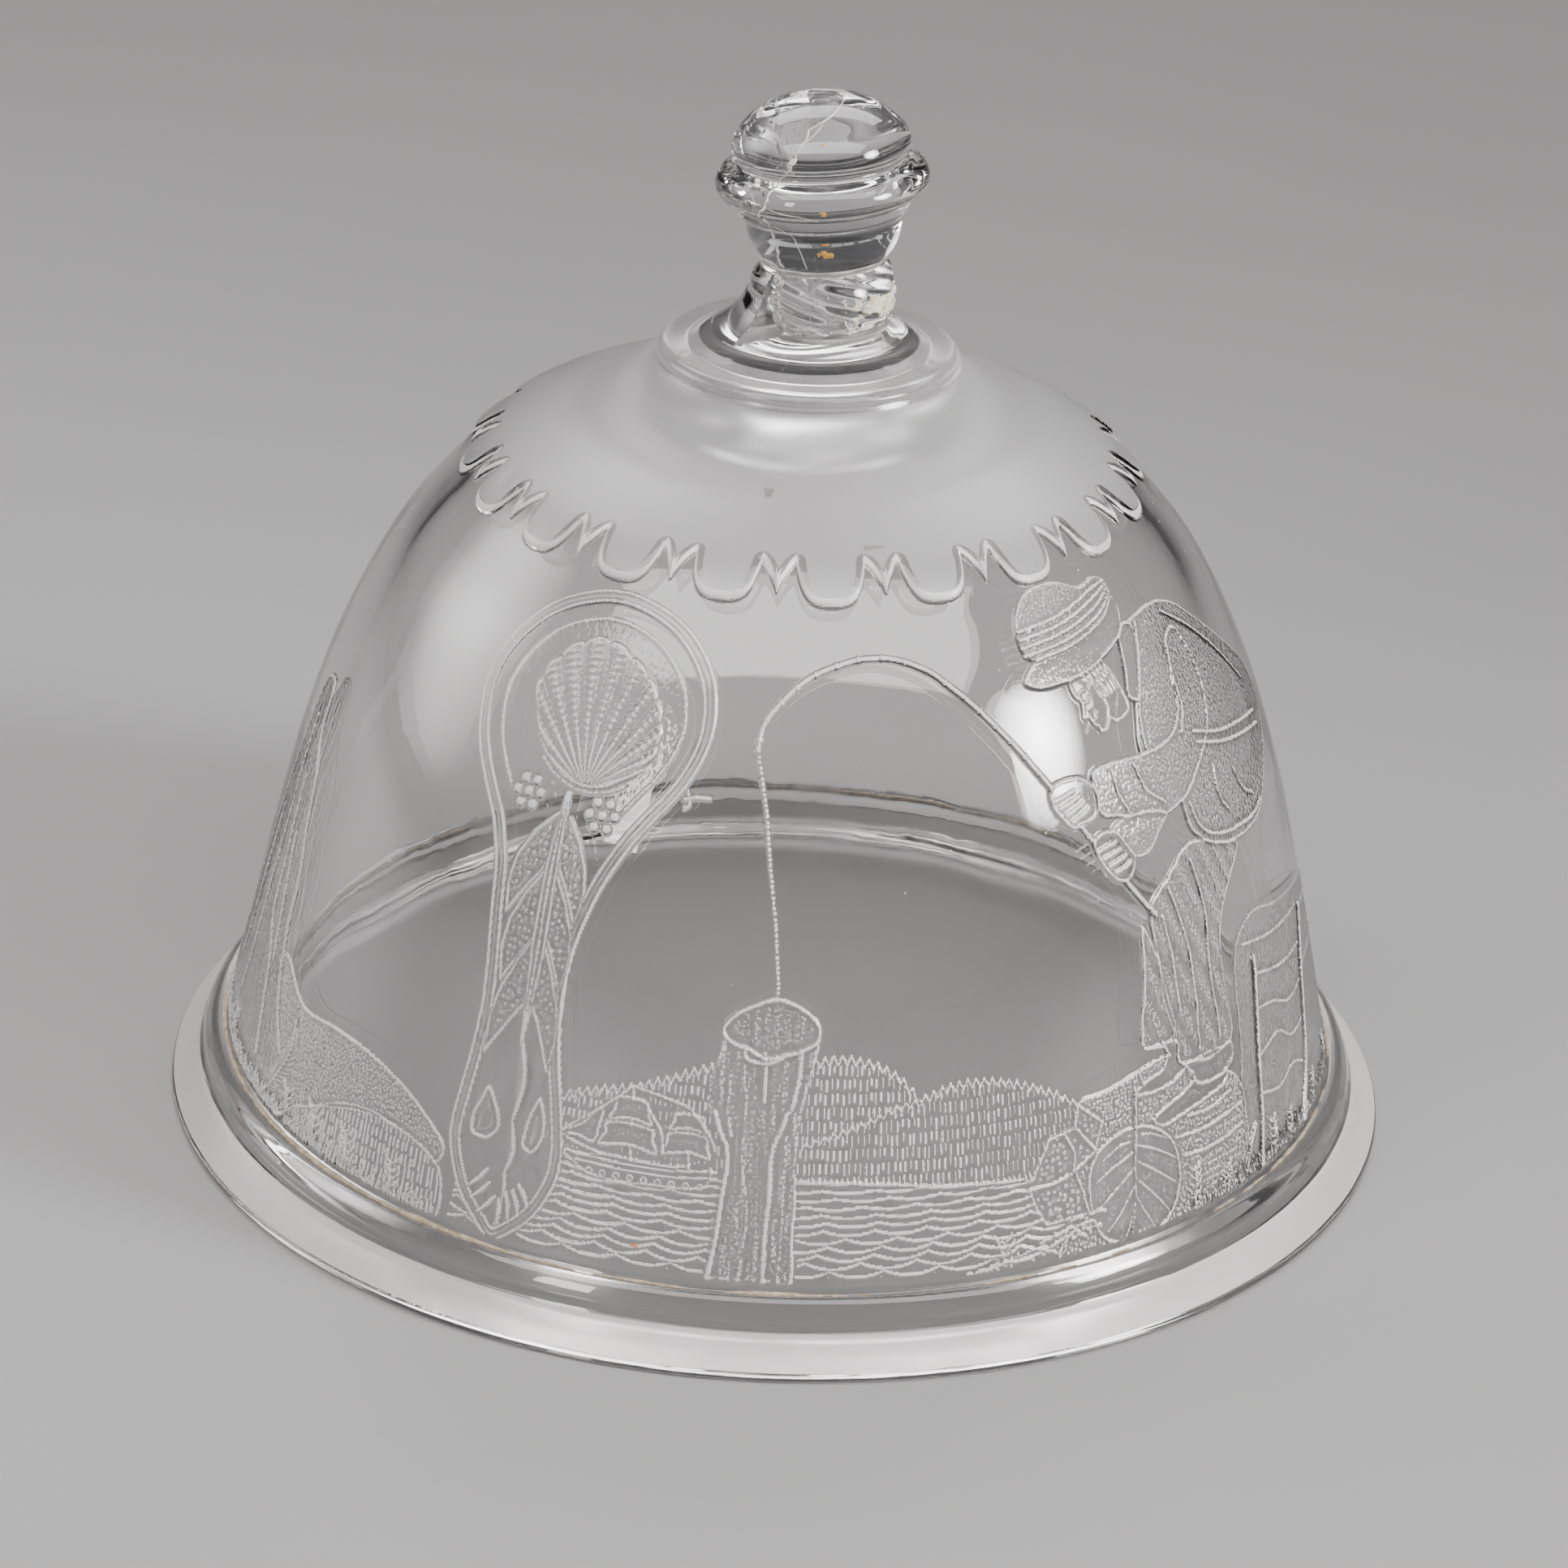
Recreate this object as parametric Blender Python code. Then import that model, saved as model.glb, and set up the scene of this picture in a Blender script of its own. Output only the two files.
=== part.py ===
"""Pressed-glass cheese dome with a mended knob.

A bell of clear pressed glass on a wide stepped foot rim, with a scalloped cap
moulded round its shoulder and a round collar on top.  The knob was broken off
and glued back a little crooked, on a block of clear casting resin that stands
in for the lost half of the stem.

Frame: origin at the centre of the base, +Z up, -Y is the front of the relief.
Written in millimetres and scaled to metres as the meshes are made.
"""

import math

import bmesh
import bpy
from mathutils import Matrix, Vector

MM = 0.001

# ---------------------------------------------------------------- dimensions
RIM_RADIUS = 95.9          # foot rim, outer edge
RIM_EDGE = 1.1             # height of the upright outer edge
SEAT_INNER = 84.6          # inner edge of the flat ring the dome rests on
GLASS = 4.6                # wall thickness near the foot
GLASS_TOP = 4.2            # wall thickness at the shoulder
CROWN_INSIDE = 114.4       # height of the inside at the centre

# outer wall: (radius, height) of the points the bell curve is drawn through
WALL = [(86.95, 10.9), (83.85, 25.7), (80.15, 42.1), (75.6, 59.4),
        (69.85, 75.6), (61.9, 91.0), (54.6, 100.2), (48.0, 107.0),
        (41.0, 110.5), (34.2, 113.2), (28.6, 116.8)]

# scalloped cap: raised edge with round lobes and pointed tips between them
LOBES = 20
LOBE_TURN = 5.6            # degrees from the front to the first lobe
LOBE_HALF = 6.0            # half width of a round lobe, degrees
LOBE_FOOT = 103.1          # height of a lobe's lowest point
TIP_FOOT = 104.6           # height of a pointed tip
NOTCH_HEAD = 107.7         # height of the notches between them
CAP_STEP = 0.75            # how far the cap stands out from the wall

# collar and stem root
COLLAR_RADIUS = 22.95
COLLAR_TOP = 124.2
STEM_TOP = 136.7
BREAK_FLOOR = 126.5        # where the lost half of the stem broke off
BREAK_TURN = 35.0          # direction the break faces, degrees to the right
BREAK_OFFSET = 1.05        # distance of the break from the dome's axis

# knob, in its own upright frame, then leant over
KNOB_RADIUS = 13.45
KNOB_MIDDLE = 155.2        # height of the cap's widest line
KNOB_DOME = 7.9            # rise of the cap above it
RING_RADIUS = 16.05
KNOB_BOTTOM = 138.5
BOTTOM_RADIUS = 9.7
LEAN_HEIGHT = 131.7        # height about which the knob leans
LEAN_LEFT = 4.8            # degrees
LEAN_FRONT = -1.3
KNOB_SHIFT = 2.48          # sideways offset of the glued knob

# break through the knob: (height, sideways place) down the front
CRACK = [(166.0, 6.0), (162.6, 3.4), (160.6, -1.4), (156.6, -4.0),
         (154.6, -4.8), (152.6, -7.2), (149.0, -9.3), (147.0, -8.2),
         (145.0, -7.4), (141.5, -6.8), (136.0, -5.6)]
CRACK_GLUE = 0.45          # thickness of the glue in the break
FIT = 0.3                  # clearance between neighbouring pieces

BLOCK_RADIUS = 10.2

SEGMENTS = 64              # round the bell
KNOB_SEGMENTS = 48


# ------------------------------------------------------------------- helpers
def clear_scene():
    for ob in list(bpy.data.objects):
        bpy.data.objects.remove(ob, do_unlink=True)


def material(name, colour, roughness, transmission=0.0, alpha=1.0, ior=1.5):
    mat = bpy.data.materials.new(name)
    mat.use_nodes = True
    bsdf = mat.node_tree.nodes["Principled BSDF"]
    bsdf.inputs["Base Color"].default_value = (*colour, 1.0)
    bsdf.inputs["Metallic"].default_value = 0.0
    bsdf.inputs["Roughness"].default_value = roughness
    bsdf.inputs["Transmission Weight"].default_value = transmission
    bsdf.inputs["IOR"].default_value = ior
    bsdf.inputs["Alpha"].default_value = alpha
    return mat


def curve_through(points, steps):
    """Centripetal Catmull-Rom curve through (r, z) points."""
    pts = [Vector(p) for p in points]
    pts = [pts[0] * 2 - pts[1]] + pts + [pts[-1] * 2 - pts[-2]]
    out = []
    for p0, p1, p2, p3 in zip(pts, pts[1:], pts[2:], pts[3:]):
        t0 = 0.0
        t1 = t0 + math.sqrt((p1 - p0).length)
        t2 = t1 + math.sqrt((p2 - p1).length)
        t3 = t2 + math.sqrt((p3 - p2).length)
        for i in range(steps):
            t = t1 + (t2 - t1) * i / steps
            a1 = p0 * ((t1 - t) / (t1 - t0)) + p1 * ((t - t0) / (t1 - t0))
            a2 = p1 * ((t2 - t) / (t2 - t1)) + p2 * ((t - t1) / (t2 - t1))
            a3 = p2 * ((t3 - t) / (t3 - t2)) + p3 * ((t - t2) / (t3 - t2))
            b1 = a1 * ((t2 - t) / (t2 - t0)) + a2 * ((t - t0) / (t2 - t0))
            b2 = a2 * ((t3 - t) / (t3 - t1)) + a3 * ((t - t1) / (t3 - t1))
            c = b1 * ((t2 - t) / (t2 - t1)) + b2 * ((t - t1) / (t2 - t1))
            out.append((c.x, c.y))
    out.append(tuple(pts[-2]))
    return out


def offset_inwards(profile, thickness):
    """The profile moved inwards along its normals; thickness(z) in mm."""
    out = []
    for i, (r, z) in enumerate(profile):
        a = profile[max(i - 1, 0)]
        b = profile[min(i + 1, len(profile) - 1)]
        d = Vector((b[0] - a[0], b[1] - a[1])).normalized()
        n = Vector((d.y, -d.x))              # outward for a profile going up
        t = thickness(z)
        out.append((r - n.x * t, z - n.y * t))
    return out


def ring(bm, r, z, segments, frame=None):
    if r < 1e-6:
        co = Vector((0.0, 0.0, z))
        return [bm.verts.new((frame @ co if frame else co) * MM)]
    out = []
    for i in range(segments):
        a = 2 * math.pi * i / segments
        co = Vector((r * math.sin(a), -r * math.cos(a), z))
        out.append(bm.verts.new((frame @ co if frame else co) * MM))
    return out


def join(bm, lower, upper):
    """Faces between two rings of the same count, or a ring and a pole."""
    n = max(len(lower), len(upper))
    for i in range(n):
        j = (i + 1) % n
        if len(lower) == 1:
            bm.faces.new((lower[0], upper[j], upper[i]))
        elif len(upper) == 1:
            bm.faces.new((lower[i], lower[j], upper[0]))
        else:
            bm.faces.new((lower[i], lower[j], upper[j], upper[i]))


def zip_rings(bm, lower, lower_angles, upper, upper_angles):
    """Triangles between two rings with different counts."""
    i = j = 0
    n, m = len(lower), len(upper)
    while i < n or j < m:
        a = lower_angles[i + 1] if i + 1 < n else lower_angles[0] + 360.0
        b = upper_angles[j + 1] if j + 1 < m else upper_angles[0] + 360.0
        if j >= m or (i < n and a <= b):
            bm.faces.new((lower[i % n], lower[(i + 1) % n], upper[j % m]))
            i += 1
        else:
            bm.faces.new((lower[i % n], upper[(j + 1) % m], upper[j % m]))
            j += 1


def finish(name, bm, mat, crease=30.0):
    bmesh.ops.recalc_face_normals(bm, faces=bm.faces)
    mesh = bpy.data.meshes.new(name)
    bm.to_mesh(mesh)
    bm.free()
    mesh.shade_smooth()
    mesh.set_sharp_from_angle(angle=math.radians(crease))
    ob = bpy.data.objects.new(name, mesh)
    bpy.context.collection.objects.link(ob)
    ob.data.materials.append(mat)
    return ob


def turned(name, profile, segments, mat, frame=None, crease=30.0):
    """A closed body turned from a profile that starts and ends on the axis."""
    bm = bmesh.new()
    rings = [ring(bm, r, z, segments, frame) for r, z in profile]
    for a, b in zip(rings, rings[1:]):
        join(bm, a, b)
    return finish(name, bm, mat, crease)


def prism(name, outline, y0, y1, frame=None):
    """An (x, z) outline drawn out along Y: a guide that cuts other pieces."""
    bm = bmesh.new()
    ends = []
    for y in (y0, y1):
        vs = []
        for x, z in outline:
            co = Vector((x, y, z))
            vs.append(bm.verts.new((frame @ co if frame else co) * MM))
        ends.append(vs)
    bm.faces.new(ends[0])
    bm.faces.new(ends[1][::-1])
    n = len(outline)
    for i in range(n):
        j = (i + 1) % n
        bm.faces.new((ends[0][i], ends[0][j], ends[1][j], ends[1][i]))
    bmesh.ops.recalc_face_normals(bm, faces=bm.faces)
    mesh = bpy.data.meshes.new(name)
    bm.to_mesh(mesh)
    bm.free()
    ob = bpy.data.objects.new(name, mesh)
    bpy.context.collection.objects.link(ob)
    ob.hide_render = True
    ob.display_type = "WIRE"
    return ob


def cut(ob, tool, operation):
    mod = ob.modifiers.new(operation.lower() + "_" + tool.name, "BOOLEAN")
    mod.operation = operation
    mod.solver = "EXACT"
    mod.object = tool


def knob_frame():
    """The leaning frame of the knob and the pieces glued under it."""
    up = Matrix.Translation((KNOB_SHIFT, 0.0, LEAN_HEIGHT))
    lean = Matrix.Rotation(math.radians(LEAN_FRONT), 4, "X")
    left = Matrix.Rotation(math.radians(-LEAN_LEFT), 4, "Y")
    return up @ lean @ left @ Matrix.Translation((0.0, 0.0, -LEAN_HEIGHT))


def scallop(angle):
    """Height of the cap's scalloped edge at an angle, in degrees."""
    pitch = 360.0 / LOBES
    d = abs((angle - LOBE_TURN + pitch / 2) % pitch - pitch / 2)
    if d < LOBE_HALF:
        u = d / LOBE_HALF
        return LOBE_FOOT + (NOTCH_HEAD - LOBE_FOOT) * (0.25 * u ** 2 + 0.75 * u ** 5)
    u = (d - LOBE_HALF) / (pitch / 2 - LOBE_HALF)
    return NOTCH_HEAD + (TIP_FOOT - NOTCH_HEAD) * (0.35 * u + 0.65 * u ** 2)


# --------------------------------------------------------------- the bell
def dome_shell(mat):
    wall = curve_through(WALL, 2)

    def wall_at(z):
        for (r0, z0), (r1, z1) in zip(wall, wall[1:]):
            if z0 <= z <= z1:
                return r0 + (r1 - r0) * (z - z0) / (z1 - z0)
        return wall[0][0] if z < wall[0][1] else wall[-1][0]

    # foot rim: flat seat, upright edge, long sloping band, bead, groove
    rim = [(SEAT_INNER, 0.0), (RIM_RADIUS - 0.5, 0.0), (RIM_RADIUS, 0.35),
           (RIM_RADIUS, RIM_EDGE), (RIM_RADIUS - 0.7, 2.05), (93.4, 3.9),
           (91.7, 5.5), (91.05, 6.9), (90.6, 8.3), (89.8, 9.6), (88.9, 10.25),
           (88.2, 10.0), (87.6, 9.7), (87.05, 10.2)]
    below = [p for p in wall if p[1] < LOBE_FOOT - 1.2]
    above = [(r + CAP_STEP * 0.5, z + CAP_STEP * 0.8) for r, z in wall
             if z > NOTCH_HEAD + 1.0]
    collar = [(25.2, 119.9), (23.6, 121.3), (COLLAR_RADIUS, 122.4),
              (COLLAR_RADIUS - 0.3, COLLAR_TOP - 0.8),
              (COLLAR_RADIUS - 1.3, COLLAR_TOP), (18.4, COLLAR_TOP + 0.1)]
    stem = curve_through([(18.4, COLLAR_TOP + 0.1), (14.9, 126.4),
                          (11.4, 129.6), (9.7, 132.6), (8.9, 135.2),
                          (7.9, STEM_TOP)], 2)[1:]
    inner = offset_inwards(
        wall, lambda z: GLASS + (GLASS_TOP - GLASS) * min(z / 100.0, 1.0))
    inner = [p for p in inner if p[0] > 30.0]
    crown = [(26.0, 112.6), (18.0, 113.8), (9.0, CROWN_INSIDE - 0.15)]

    bm = bmesh.new()
    n = SEGMENTS
    first = ring(bm, *rim[0], n)
    last = first
    for r, z in rim[1:] + below:
        nxt = ring(bm, r, z, n)
        join(bm, last, nxt)
        last = nxt

    # the scalloped step, with more points round it than the plain wall
    count = LOBES * 10
    angles = [360.0 * i / count for i in range(count)]
    plain = [360.0 * i / n for i in range(n)]
    foot, head = [], []
    for a in angles:
        z = scallop(a)
        r = wall_at(z)
        s, c = math.sin(math.radians(a)), math.cos(math.radians(a))
        foot.append(bm.verts.new(Vector((r * s, -r * c, z)) * MM))
        z2 = z + CAP_STEP * 0.95
        r2 = wall_at(z + 0.2) + CAP_STEP * 0.45
        head.append(bm.verts.new(Vector((r2 * s, -r2 * c, z2)) * MM))
    zip_rings(bm, last, plain, foot, angles)
    join(bm, foot, head)
    top = ring(bm, *above[0], n)
    zip_rings(bm, head, angles, top, plain)
    last = top
    for r, z in above[1:] + collar + stem:
        nxt = ring(bm, r, z, n)
        join(bm, last, nxt)
        last = nxt
    pole = bm.verts.new((0.0, 0.0, STEM_TOP * MM))
    join(bm, last, [pole])

    # inside, from the crown back down to the seat
    mouth = ring(bm, SEAT_INNER - 1.9, 1.5, n)
    join(bm, mouth, first)
    last = mouth
    for r, z in [p for p in inner if p[1] > 6.0]:
        nxt = ring(bm, r, z, n)
        join(bm, nxt, last)
        last = nxt
    for r, z in crown:
        nxt = ring(bm, r, z, n)
        join(bm, nxt, last)
        last = nxt
    join(bm, last, [bm.verts.new((0.0, 0.0, CROWN_INSIDE * MM))])

    shell = finish("dome_shell", bm, mat)

    # the front right half of the stem is missing above the break
    turn = Matrix.Rotation(math.radians(BREAK_TURN), 4, "Z")
    tool = prism("stem_break", [(-30.0, BREAK_FLOOR), (30.0, BREAK_FLOOR),
                                (30.0, 145.0), (-30.0, 145.0)],
                 -30.0, -BREAK_OFFSET, turn)
    cut(shell, tool, "DIFFERENCE")
    return shell


# --------------------------------------------------------------- the knob
def knob_profile():
    pts = [(0.0, KNOB_BOTTOM), (BOTTOM_RADIUS - 0.3, KNOB_BOTTOM),
           (BOTTOM_RADIUS, KNOB_BOTTOM + 0.3), (10.5, 139.9), (11.2, 141.4),
           (11.65, 143.0), (11.75, 144.3), (12.1, 145.2), (12.9, 145.7),
           (13.15, 146.2), (13.25, 147.5), (13.7, 148.1), (15.0, 148.35),
           (15.45, 148.75), (15.95, 149.6), (RING_RADIUS, 150.3),
           (15.7, 151.5), (14.9, 152.5), (13.6, 153.1), (12.75, 153.4),
           (12.55, 153.9), (12.85, 154.45), (13.25, 154.8)]
    steps = 9
    for i in range(steps):
        a = math.pi / 2 * i / steps
        pts.append((KNOB_RADIUS * math.cos(a),
                    KNOB_MIDDLE + KNOB_DOME * math.sin(a)))
    pts.append((0.0, KNOB_MIDDLE + KNOB_DOME))
    return pts


def crack_side(shift, side):
    """Outline (x, z) of everything on one side of the break, moved by shift."""
    line = [(x + shift, z) for z, x in CRACK]
    far = 40.0 * side
    return line + [(far, line[-1][1]), (far, line[0][1])]


def knob(frame, glass, glue):
    half = CRACK_GLUE / 2
    main = turned("knob_main", knob_profile(), KNOB_SEGMENTS, glass, frame)
    cut(main, prism("crack_right", crack_side(half + FIT, 1), -30, 30, frame),
        "INTERSECT")
    side = turned("knob_side_fragment", knob_profile(), KNOB_SEGMENTS, glass,
                  frame)
    cut(side, prism("crack_left", crack_side(-half - FIT, -1), -30, 30, frame),
        "INTERSECT")
    film = turned("knob_crack_glue", knob_profile(), KNOB_SEGMENTS, glue,
                  frame)
    line = [(x + half, z) for z, x in CRACK]
    back = [(x - half, z) for z, x in reversed(CRACK)]
    cut(film, prism("crack_middle", line + back, -30, 30, frame), "INTERSECT")
    return main, side, film


# ------------------------------------------------------------- the mended neck
def neck(frame, resin, glue, residue):
    turn = Matrix.Rotation(math.radians(BREAK_TURN), 4, "Z")
    box = [(-30.0, 110.0), (30.0, 110.0), (30.0, 150.0), (-30.0, 150.0)]

    # barrel-shaped block on the front right, coaxial with the knob
    low, high = 128.2, 137.6
    outline = curve_through([(8.6, low), (9.75, 130.4), (BLOCK_RADIUS, 132.8),
                             (10.0, 135.2), (9.35, high)], 3)
    block = turned("neck_repair_block", [(0.0, low)] + outline + [(0.0, high)],
                   KNOB_SEGMENTS, resin, frame)
    cut(block, prism("block_face", box, -30.0, -BREAK_OFFSET - FIT, turn),
        "INTERSECT")

    # thin joint between the knob's bottom and the stem and block
    turned("glue_joint_upper",
           [(0.0, 137.9), (9.2, 137.9), (9.45, 138.05), (9.2, 138.2),
            (0.0, 138.2)], KNOB_SEGMENTS, glue, frame)

    # lip of resin squeezed out on the broken floor under the block: its
    # underside lies level and its top leans with the block
    bm = bmesh.new()
    level = Matrix.Translation((KNOB_SHIFT, 0.0, 0.0))
    n = KNOB_SEGMENTS
    under = [ring(bm, 0.0, BREAK_FLOOR + FIT, n, level),
             ring(bm, 8.7, BREAK_FLOOR + FIT, n, level)]
    over = [ring(bm, 9.0, 127.45, n, frame), ring(bm, 8.75, 127.9, n, frame),
            ring(bm, 0.0, 127.9, n, frame)]
    chain = under + over
    for a, b in zip(chain, chain[1:]):
        join(bm, a, b)
    lip = finish("glue_bead_lower", bm, glue)
    cut(lip, prism("lip_face", box, -30.0, -BREAK_OFFSET - FIT, turn),
        "INTERSECT")

    # flake of old yellowed glue left on the right of the block
    bm = bmesh.new()
    rows, cols = 5, 8
    grid = {}
    for side, lift in (("in", FIT), ("out", FIT + 0.45)):
        for i in range(rows):
            z = 129.6 + 5.2 * i / (rows - 1)
            bulge = max(r for r, h in outline if abs(h - z) < 0.9)
            for j in range(cols):
                a = math.radians(28.0 + 56.0 * j / (cols - 1) - 2.5 * i)
                r = bulge + lift
                co = frame @ Vector((r * math.sin(a), -r * math.cos(a), z))
                grid[side, i, j] = bm.verts.new(co * MM)
    for i in range(rows - 1):
        for j in range(cols - 1):
            for side in ("in", "out"):
                bm.faces.new((grid[side, i, j], grid[side, i, j + 1],
                              grid[side, i + 1, j + 1], grid[side, i + 1, j]))
    edge = ([(0, j) for j in range(cols)]
            + [(i, cols - 1) for i in range(1, rows)]
            + [(rows - 1, j) for j in range(cols - 2, -1, -1)]
            + [(i, 0) for i in range(rows - 2, 0, -1)])
    for a, b in zip(edge, edge[1:] + edge[:1]):
        bm.faces.new((grid[("in", *a)], grid[("in", *b)],
                      grid[("out", *b)], grid[("out", *a)]))
    finish("glue_flake", bm, residue)


def main():
    clear_scene()
    glass = material("pressed_glass", (0.93, 0.90, 0.90), 0.05, 1.0)
    resin = material("casting_resin", (0.93, 0.93, 0.95), 0.08, 1.0)
    glue = material("clear_glue", (0.92, 0.90, 0.88), 0.30, 0.7)
    residue = material("old_glue", (0.86, 0.80, 0.62), 0.55)
    frame = knob_frame()
    dome_shell(glass)
    knob(frame, glass, glue)
    neck(frame, resin, glue, residue)
    bpy.context.view_layer.update()


main()
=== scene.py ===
"""Looks of the pressed-glass cheese dome: a finely relieved bell, the mended
knob with its glue and resin, and the dust in its foot groove, on a pale floor."""

import math

import bmesh
import bpy
import numpy as np
from mathutils import Matrix, Vector


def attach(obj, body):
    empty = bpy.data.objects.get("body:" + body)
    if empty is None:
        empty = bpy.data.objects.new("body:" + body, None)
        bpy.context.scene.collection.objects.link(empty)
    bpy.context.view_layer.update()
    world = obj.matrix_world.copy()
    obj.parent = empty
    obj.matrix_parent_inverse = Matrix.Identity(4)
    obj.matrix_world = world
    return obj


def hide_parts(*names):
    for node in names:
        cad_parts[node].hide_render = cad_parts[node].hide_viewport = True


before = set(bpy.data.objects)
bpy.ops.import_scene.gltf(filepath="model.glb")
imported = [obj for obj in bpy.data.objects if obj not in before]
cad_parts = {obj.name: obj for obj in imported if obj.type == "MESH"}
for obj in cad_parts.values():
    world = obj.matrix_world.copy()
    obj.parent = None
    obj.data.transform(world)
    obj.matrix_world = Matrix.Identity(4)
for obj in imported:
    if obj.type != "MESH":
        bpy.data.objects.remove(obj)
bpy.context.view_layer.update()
MM = 0.001
RNG = np.random.default_rng(20)

# ------------------------------------------------------------ CAD dimensions
WALL = [(86.95, 10.9), (83.85, 25.7), (80.15, 42.1), (75.6, 59.4),
        (69.85, 75.6), (61.9, 91.0), (54.6, 100.2), (48.0, 107.0),
        (41.0, 110.5), (34.2, 113.2), (28.6, 116.8)]
RIM = [(82.7, 1.5), (84.6, 0.0), (95.4, 0.0), (95.9, 0.35), (95.9, 1.1),
       (95.2, 2.05), (93.4, 3.9), (91.7, 5.5), (91.05, 6.9), (90.6, 8.3),
       (89.8, 9.6), (88.9, 10.25), (88.2, 10.0), (87.6, 9.7), (87.05, 10.2)]
COLLAR = [(28.6, 116.8), (25.2, 119.9), (23.6, 121.3), (22.95, 122.4),
          (22.65, 123.4), (21.65, 124.2), (18.4, 124.3)]
STEM = [(18.4, 124.3), (14.9, 126.4), (11.4, 129.6), (9.7, 132.6),
        (8.9, 135.2), (7.9, 136.7)]
CROWN = [(26.0, 112.6), (18.0, 113.8), (9.0, 114.25), (0.0, 114.4)]
LOBES, LOBE_TURN, LOBE_HALF = 20, 5.6, 6.0
LOBE_FOOT, TIP_FOOT, NOTCH_HEAD, CAP_STEP = 103.1, 104.6, 107.7, 0.75
BREAK_FLOOR, BREAK_TURN, BREAK_OFFSET = 126.5, 35.0, 1.05
CRACK = [(166.0, 6.0), (162.6, 3.4), (160.6, -1.4), (156.6, -4.0),
         (154.6, -4.8), (152.6, -7.2), (149.0, -9.3), (147.0, -8.2),
         (145.0, -7.4), (141.5, -6.8), (136.0, -5.6)]
KNOB = [(0.0, 138.5), (9.4, 138.5), (9.7, 138.8), (10.5, 139.9),
        (11.2, 141.4), (11.65, 143.0), (11.75, 144.3), (12.1, 145.2),
        (12.9, 145.7), (13.15, 146.2), (13.25, 147.5), (13.7, 148.1),
        (15.0, 148.35), (15.45, 148.75), (15.95, 149.6), (16.05, 150.3),
        (15.7, 151.5), (14.9, 152.5), (13.6, 153.1), (12.75, 153.4),
        (12.55, 153.9), (12.85, 154.45), (13.25, 154.8)]
KNOB_RADIUS, KNOB_MIDDLE, KNOB_DOME = 13.45, 155.2, 7.9
LEAN = (Matrix.Translation((2.48, 0.0, 131.7))
        @ Matrix.Rotation(math.radians(-1.3), 4, "X")
        @ Matrix.Rotation(math.radians(-4.8), 4, "Y")
        @ Matrix.Translation((0.0, 0.0, -131.7)))


LEANT = Vector((2.3 * MM, 0.0, 0.0))      # axis of the leaning block at its middle


# ------------------------------------------------------------ small helpers
def curve(points, steps):
    """Centripetal Catmull-Rom curve through points of any dimension."""
    p = [np.array(q, float) for q in points]
    p = [2 * p[0] - p[1]] + p + [2 * p[-1] - p[-2]]
    out = []
    for p0, p1, p2, p3 in zip(p, p[1:], p[2:], p[3:]):
        t0 = 0.0
        t1 = t0 + max(np.linalg.norm(p1 - p0), 1e-6) ** 0.5
        t2 = t1 + max(np.linalg.norm(p2 - p1), 1e-6) ** 0.5
        t3 = t2 + max(np.linalg.norm(p3 - p2), 1e-6) ** 0.5
        for t in t1 + (t2 - t1) * np.arange(steps) / steps:
            a1 = p0 * ((t1 - t) / (t1 - t0)) + p1 * ((t - t0) / (t1 - t0))
            a2 = p1 * ((t2 - t) / (t2 - t1)) + p2 * ((t - t1) / (t2 - t1))
            a3 = p2 * ((t3 - t) / (t3 - t2)) + p3 * ((t - t2) / (t3 - t2))
            b1 = a1 * ((t2 - t) / (t2 - t0)) + a2 * ((t - t0) / (t2 - t0))
            b2 = a2 * ((t3 - t) / (t3 - t1)) + a3 * ((t - t1) / (t3 - t1))
            out.append(b1 * ((t2 - t) / (t2 - t1)) + b2 * ((t - t1) / (t2 - t1)))
    out.append(p[-2])
    return np.array(out)


def closed_curve(points, steps):
    n = len(points)
    pts = list(points)
    c = curve(pts[-2:] + pts + pts[:3], steps)
    return c[2 * steps:(2 + n) * steps]


def smooth(x, a=0.0, b=1.0):
    t = np.clip((x - a) / (b - a), 0.0, 1.0)
    return t * t * (3.0 - 2.0 * t)


def noise(u, v, seed, wrap=0):
    """Smooth value noise, 0 to 1; u wraps after `wrap` cells."""
    rng = np.random.default_rng(seed)
    nu = wrap or int(np.max(u)) + 3
    lattice = rng.random((nu, int(np.max(v) - np.min(v)) + 4))
    v = v - math.floor(np.min(v))
    iu, iv = np.floor(u).astype(int), np.floor(v).astype(int)
    fu, fv = u - iu, v - iv
    fu, fv = fu * fu * (3 - 2 * fu), fv * fv * (3 - 2 * fv)
    a, b = iu % nu, (iu + 1) % nu
    return ((lattice[a, iv] * (1 - fu) + lattice[b, iv] * fu) * (1 - fv)
            + (lattice[a, iv + 1] * (1 - fu) + lattice[b, iv + 1] * fu) * fv)


def cells(u, v, seed, wrap, jitter=0.75):
    """Distance to the nearest of a jittered set of points, in cells."""
    rng = np.random.default_rng(seed)
    iu, iv = np.floor(u).astype(int), np.floor(v).astype(int)
    lo = iv.min() - 1
    jit = 0.5 + jitter * (rng.random((2, wrap, iv.max() - lo + 3)) - 0.5)
    best = np.full(np.broadcast(u, v).shape, 9.0)
    for du in (-1, 0, 1):
        for dv in (-1, 0, 1):
            a, b = (iu + du) % wrap, iv + dv - lo
            x = iu + du + jit[0][a, b] - u
            y = iv + dv + jit[1][a, b] - v
            best = np.minimum(best, x * x + y * y)
    return np.sqrt(best)


# ------------------------------------------------------------ relief canvas
ROW = 0.22


def columns():
    """Angles of the columns, close together over the pictured front."""
    front, back = np.arange(-100.0, 100.0, 0.125), np.arange(100.0, 260.0, 0.25)
    return np.concatenate([back[back >= 180.0] - 360.0, front, back[back < 180.0]])


COLUMNS = columns()
COLS = len(COLUMNS)


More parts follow.
